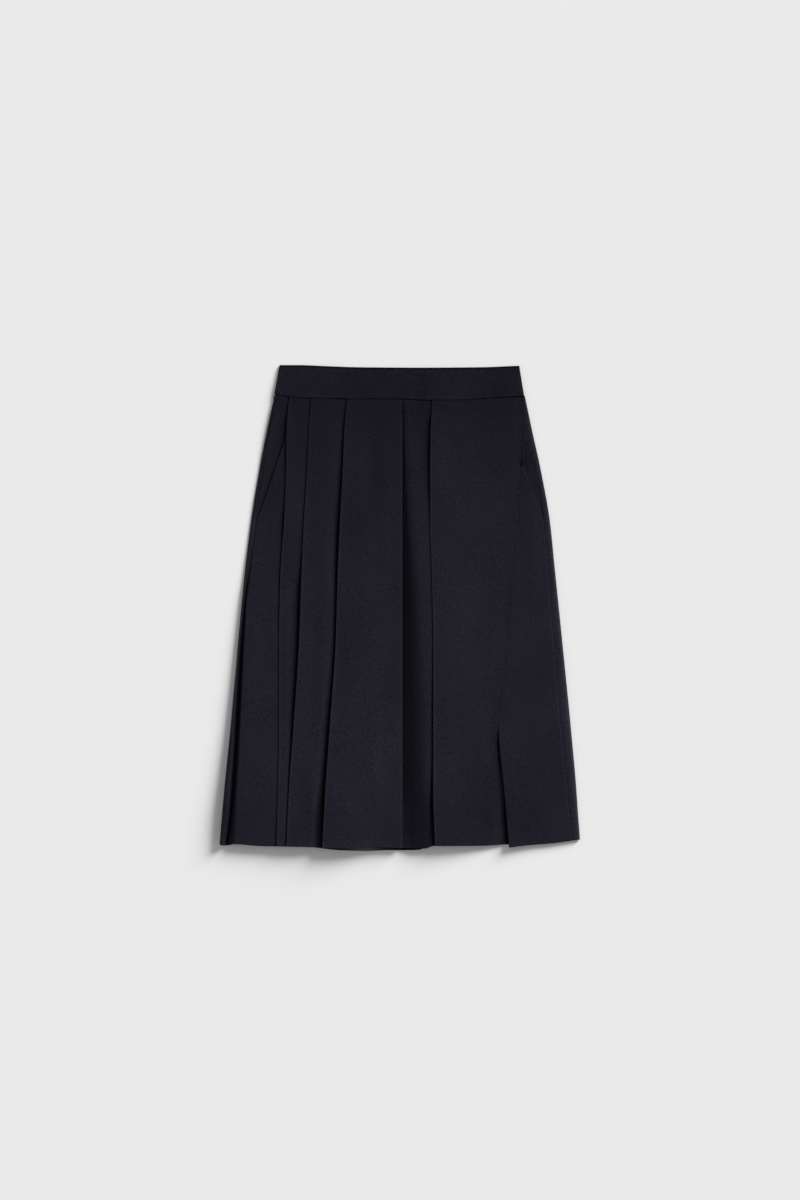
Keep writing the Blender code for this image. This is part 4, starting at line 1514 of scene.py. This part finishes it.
# --- the stage ------------------------------------------------------------------
def new_object(name: str, shape: bmesh.types.BMesh) -> bpy.types.Object:
    """Puts a shape into the scene.

    Args:
        name: the name of the new object and of its mesh.
        shape: its shape, which is freed.

    Returns:
        The object.
    """
    mesh = bpy.data.meshes.new(name)
    shape.to_mesh(mesh)
    shape.free()
    made = bpy.data.objects.new(name, mesh)
    bpy.context.scene.collection.objects.link(made)
    return made


@dataclass
class Studio:
    """A plain pale floor, soft light from the upper right, and a camera overhead."""

    pixel: float = 1.5  # size of one pixel on the cloth
    frame_height: float = 1200.0  # pixels
    aim: tuple[float, float] = (0.9, 11.5)  # the picture's middle
    cloth_height: float = 4.0  # the height that is at true scale
    lens: float = 80.0
    sensor: float = 36.0
    floor_tone: float = 0.80
    floor_size: float = 12.0  # half its width, in metres
    floor_drop: float = 0.1  # how far it is under the surface that the skirt lies on
    key_strength: float = 5.35
    key_elevation: float = math.radians(22.0)
    key_azimuth: float = math.radians(45.0)
    key_size: float = math.radians(28.0)
    fill: float = 0.39

    def build(self) -> None:
        """Makes the floor, the light, the world and the camera."""
        scene = bpy.context.scene
        scene.view_settings.view_transform = "Standard"
        self.floor()
        key = bpy.data.lights.new("key_light", "SUN")
        key.energy = self.key_strength
        key.angle = self.key_size
        lamp = bpy.data.objects.new("key_light", key)
        lamp.rotation_euler = Euler((0.0, math.pi / 2 - self.key_elevation, self.key_azimuth))
        scene.collection.objects.link(lamp)
        world = bpy.data.worlds.new("studio")
        world.use_nodes = True
        feed(world.node_tree, world.node_tree.nodes["Background"],
             {"Color": (1.0, 1.0, 1.0, 1.0), "Strength": self.fill})
        scene.world = world
        eye = bpy.data.cameras.new("overhead")
        eye.lens = self.lens
        eye.sensor_width = self.sensor
        camera = bpy.data.objects.new("overhead", eye)
        distance = self.frame_height * self.pixel * self.lens / self.sensor
        camera.location = Vector((*self.aim, distance + self.cloth_height)) * MM
        scene.collection.objects.link(camera)
        scene.camera = camera

    def floor(self) -> None:
        """The floor, a little under the cloth that lies on it."""
        plane = bmesh.new()
        bmesh.ops.create_grid(plane, x_segments=1, y_segments=1, size=self.floor_size)
        bmesh.ops.translate(plane, verts=plane.verts, vec=(0.0, 0.0, -self.floor_drop * MM))
        ground = new_object("floor", plane)
        paper = bpy.data.materials.new("pale_floor")
        paper.use_nodes = True
        feed(paper.node_tree, paper.node_tree.nodes["Principled BSDF"],
             {"Base Color": (self.floor_tone,) * 3 + (1.0,), "Roughness": 0.95,
              "Specular IOR Level": 0.1})
        ground.data.materials.append(paper)


def main() -> None:
    """Builds the stage and every piece of the skirt, in order from the floor up."""
    logging.basicConfig(level=logging.INFO, format="%(name)s %(message)s")
    twill_group()
    melange_group()
    Studio().build()
    cut = Cut()
    pieces: list[ClothPiece] = [
        BackPanel(cut),
        HipLeft(cut),
        HipRight(cut),
        PleatedFront(cut),
        FrontSide(cut),
        Band(cut, "waistband_back_half", "waistband_back", top_z=1.0, low_z=1.0, meet=2.0,
             edge_shade=0.08, rests_on=("the surface",)),
        Band(cut, "waistband_front_half", "waistband_front", meet=2.2, ledge=1.2,
             rests_on=("waistband_back_half", "skirt_front"), creases=BAND_CREASES),
    ]
    for piece in pieces:
        piece.build()


if __name__ == "__main__":
    main()
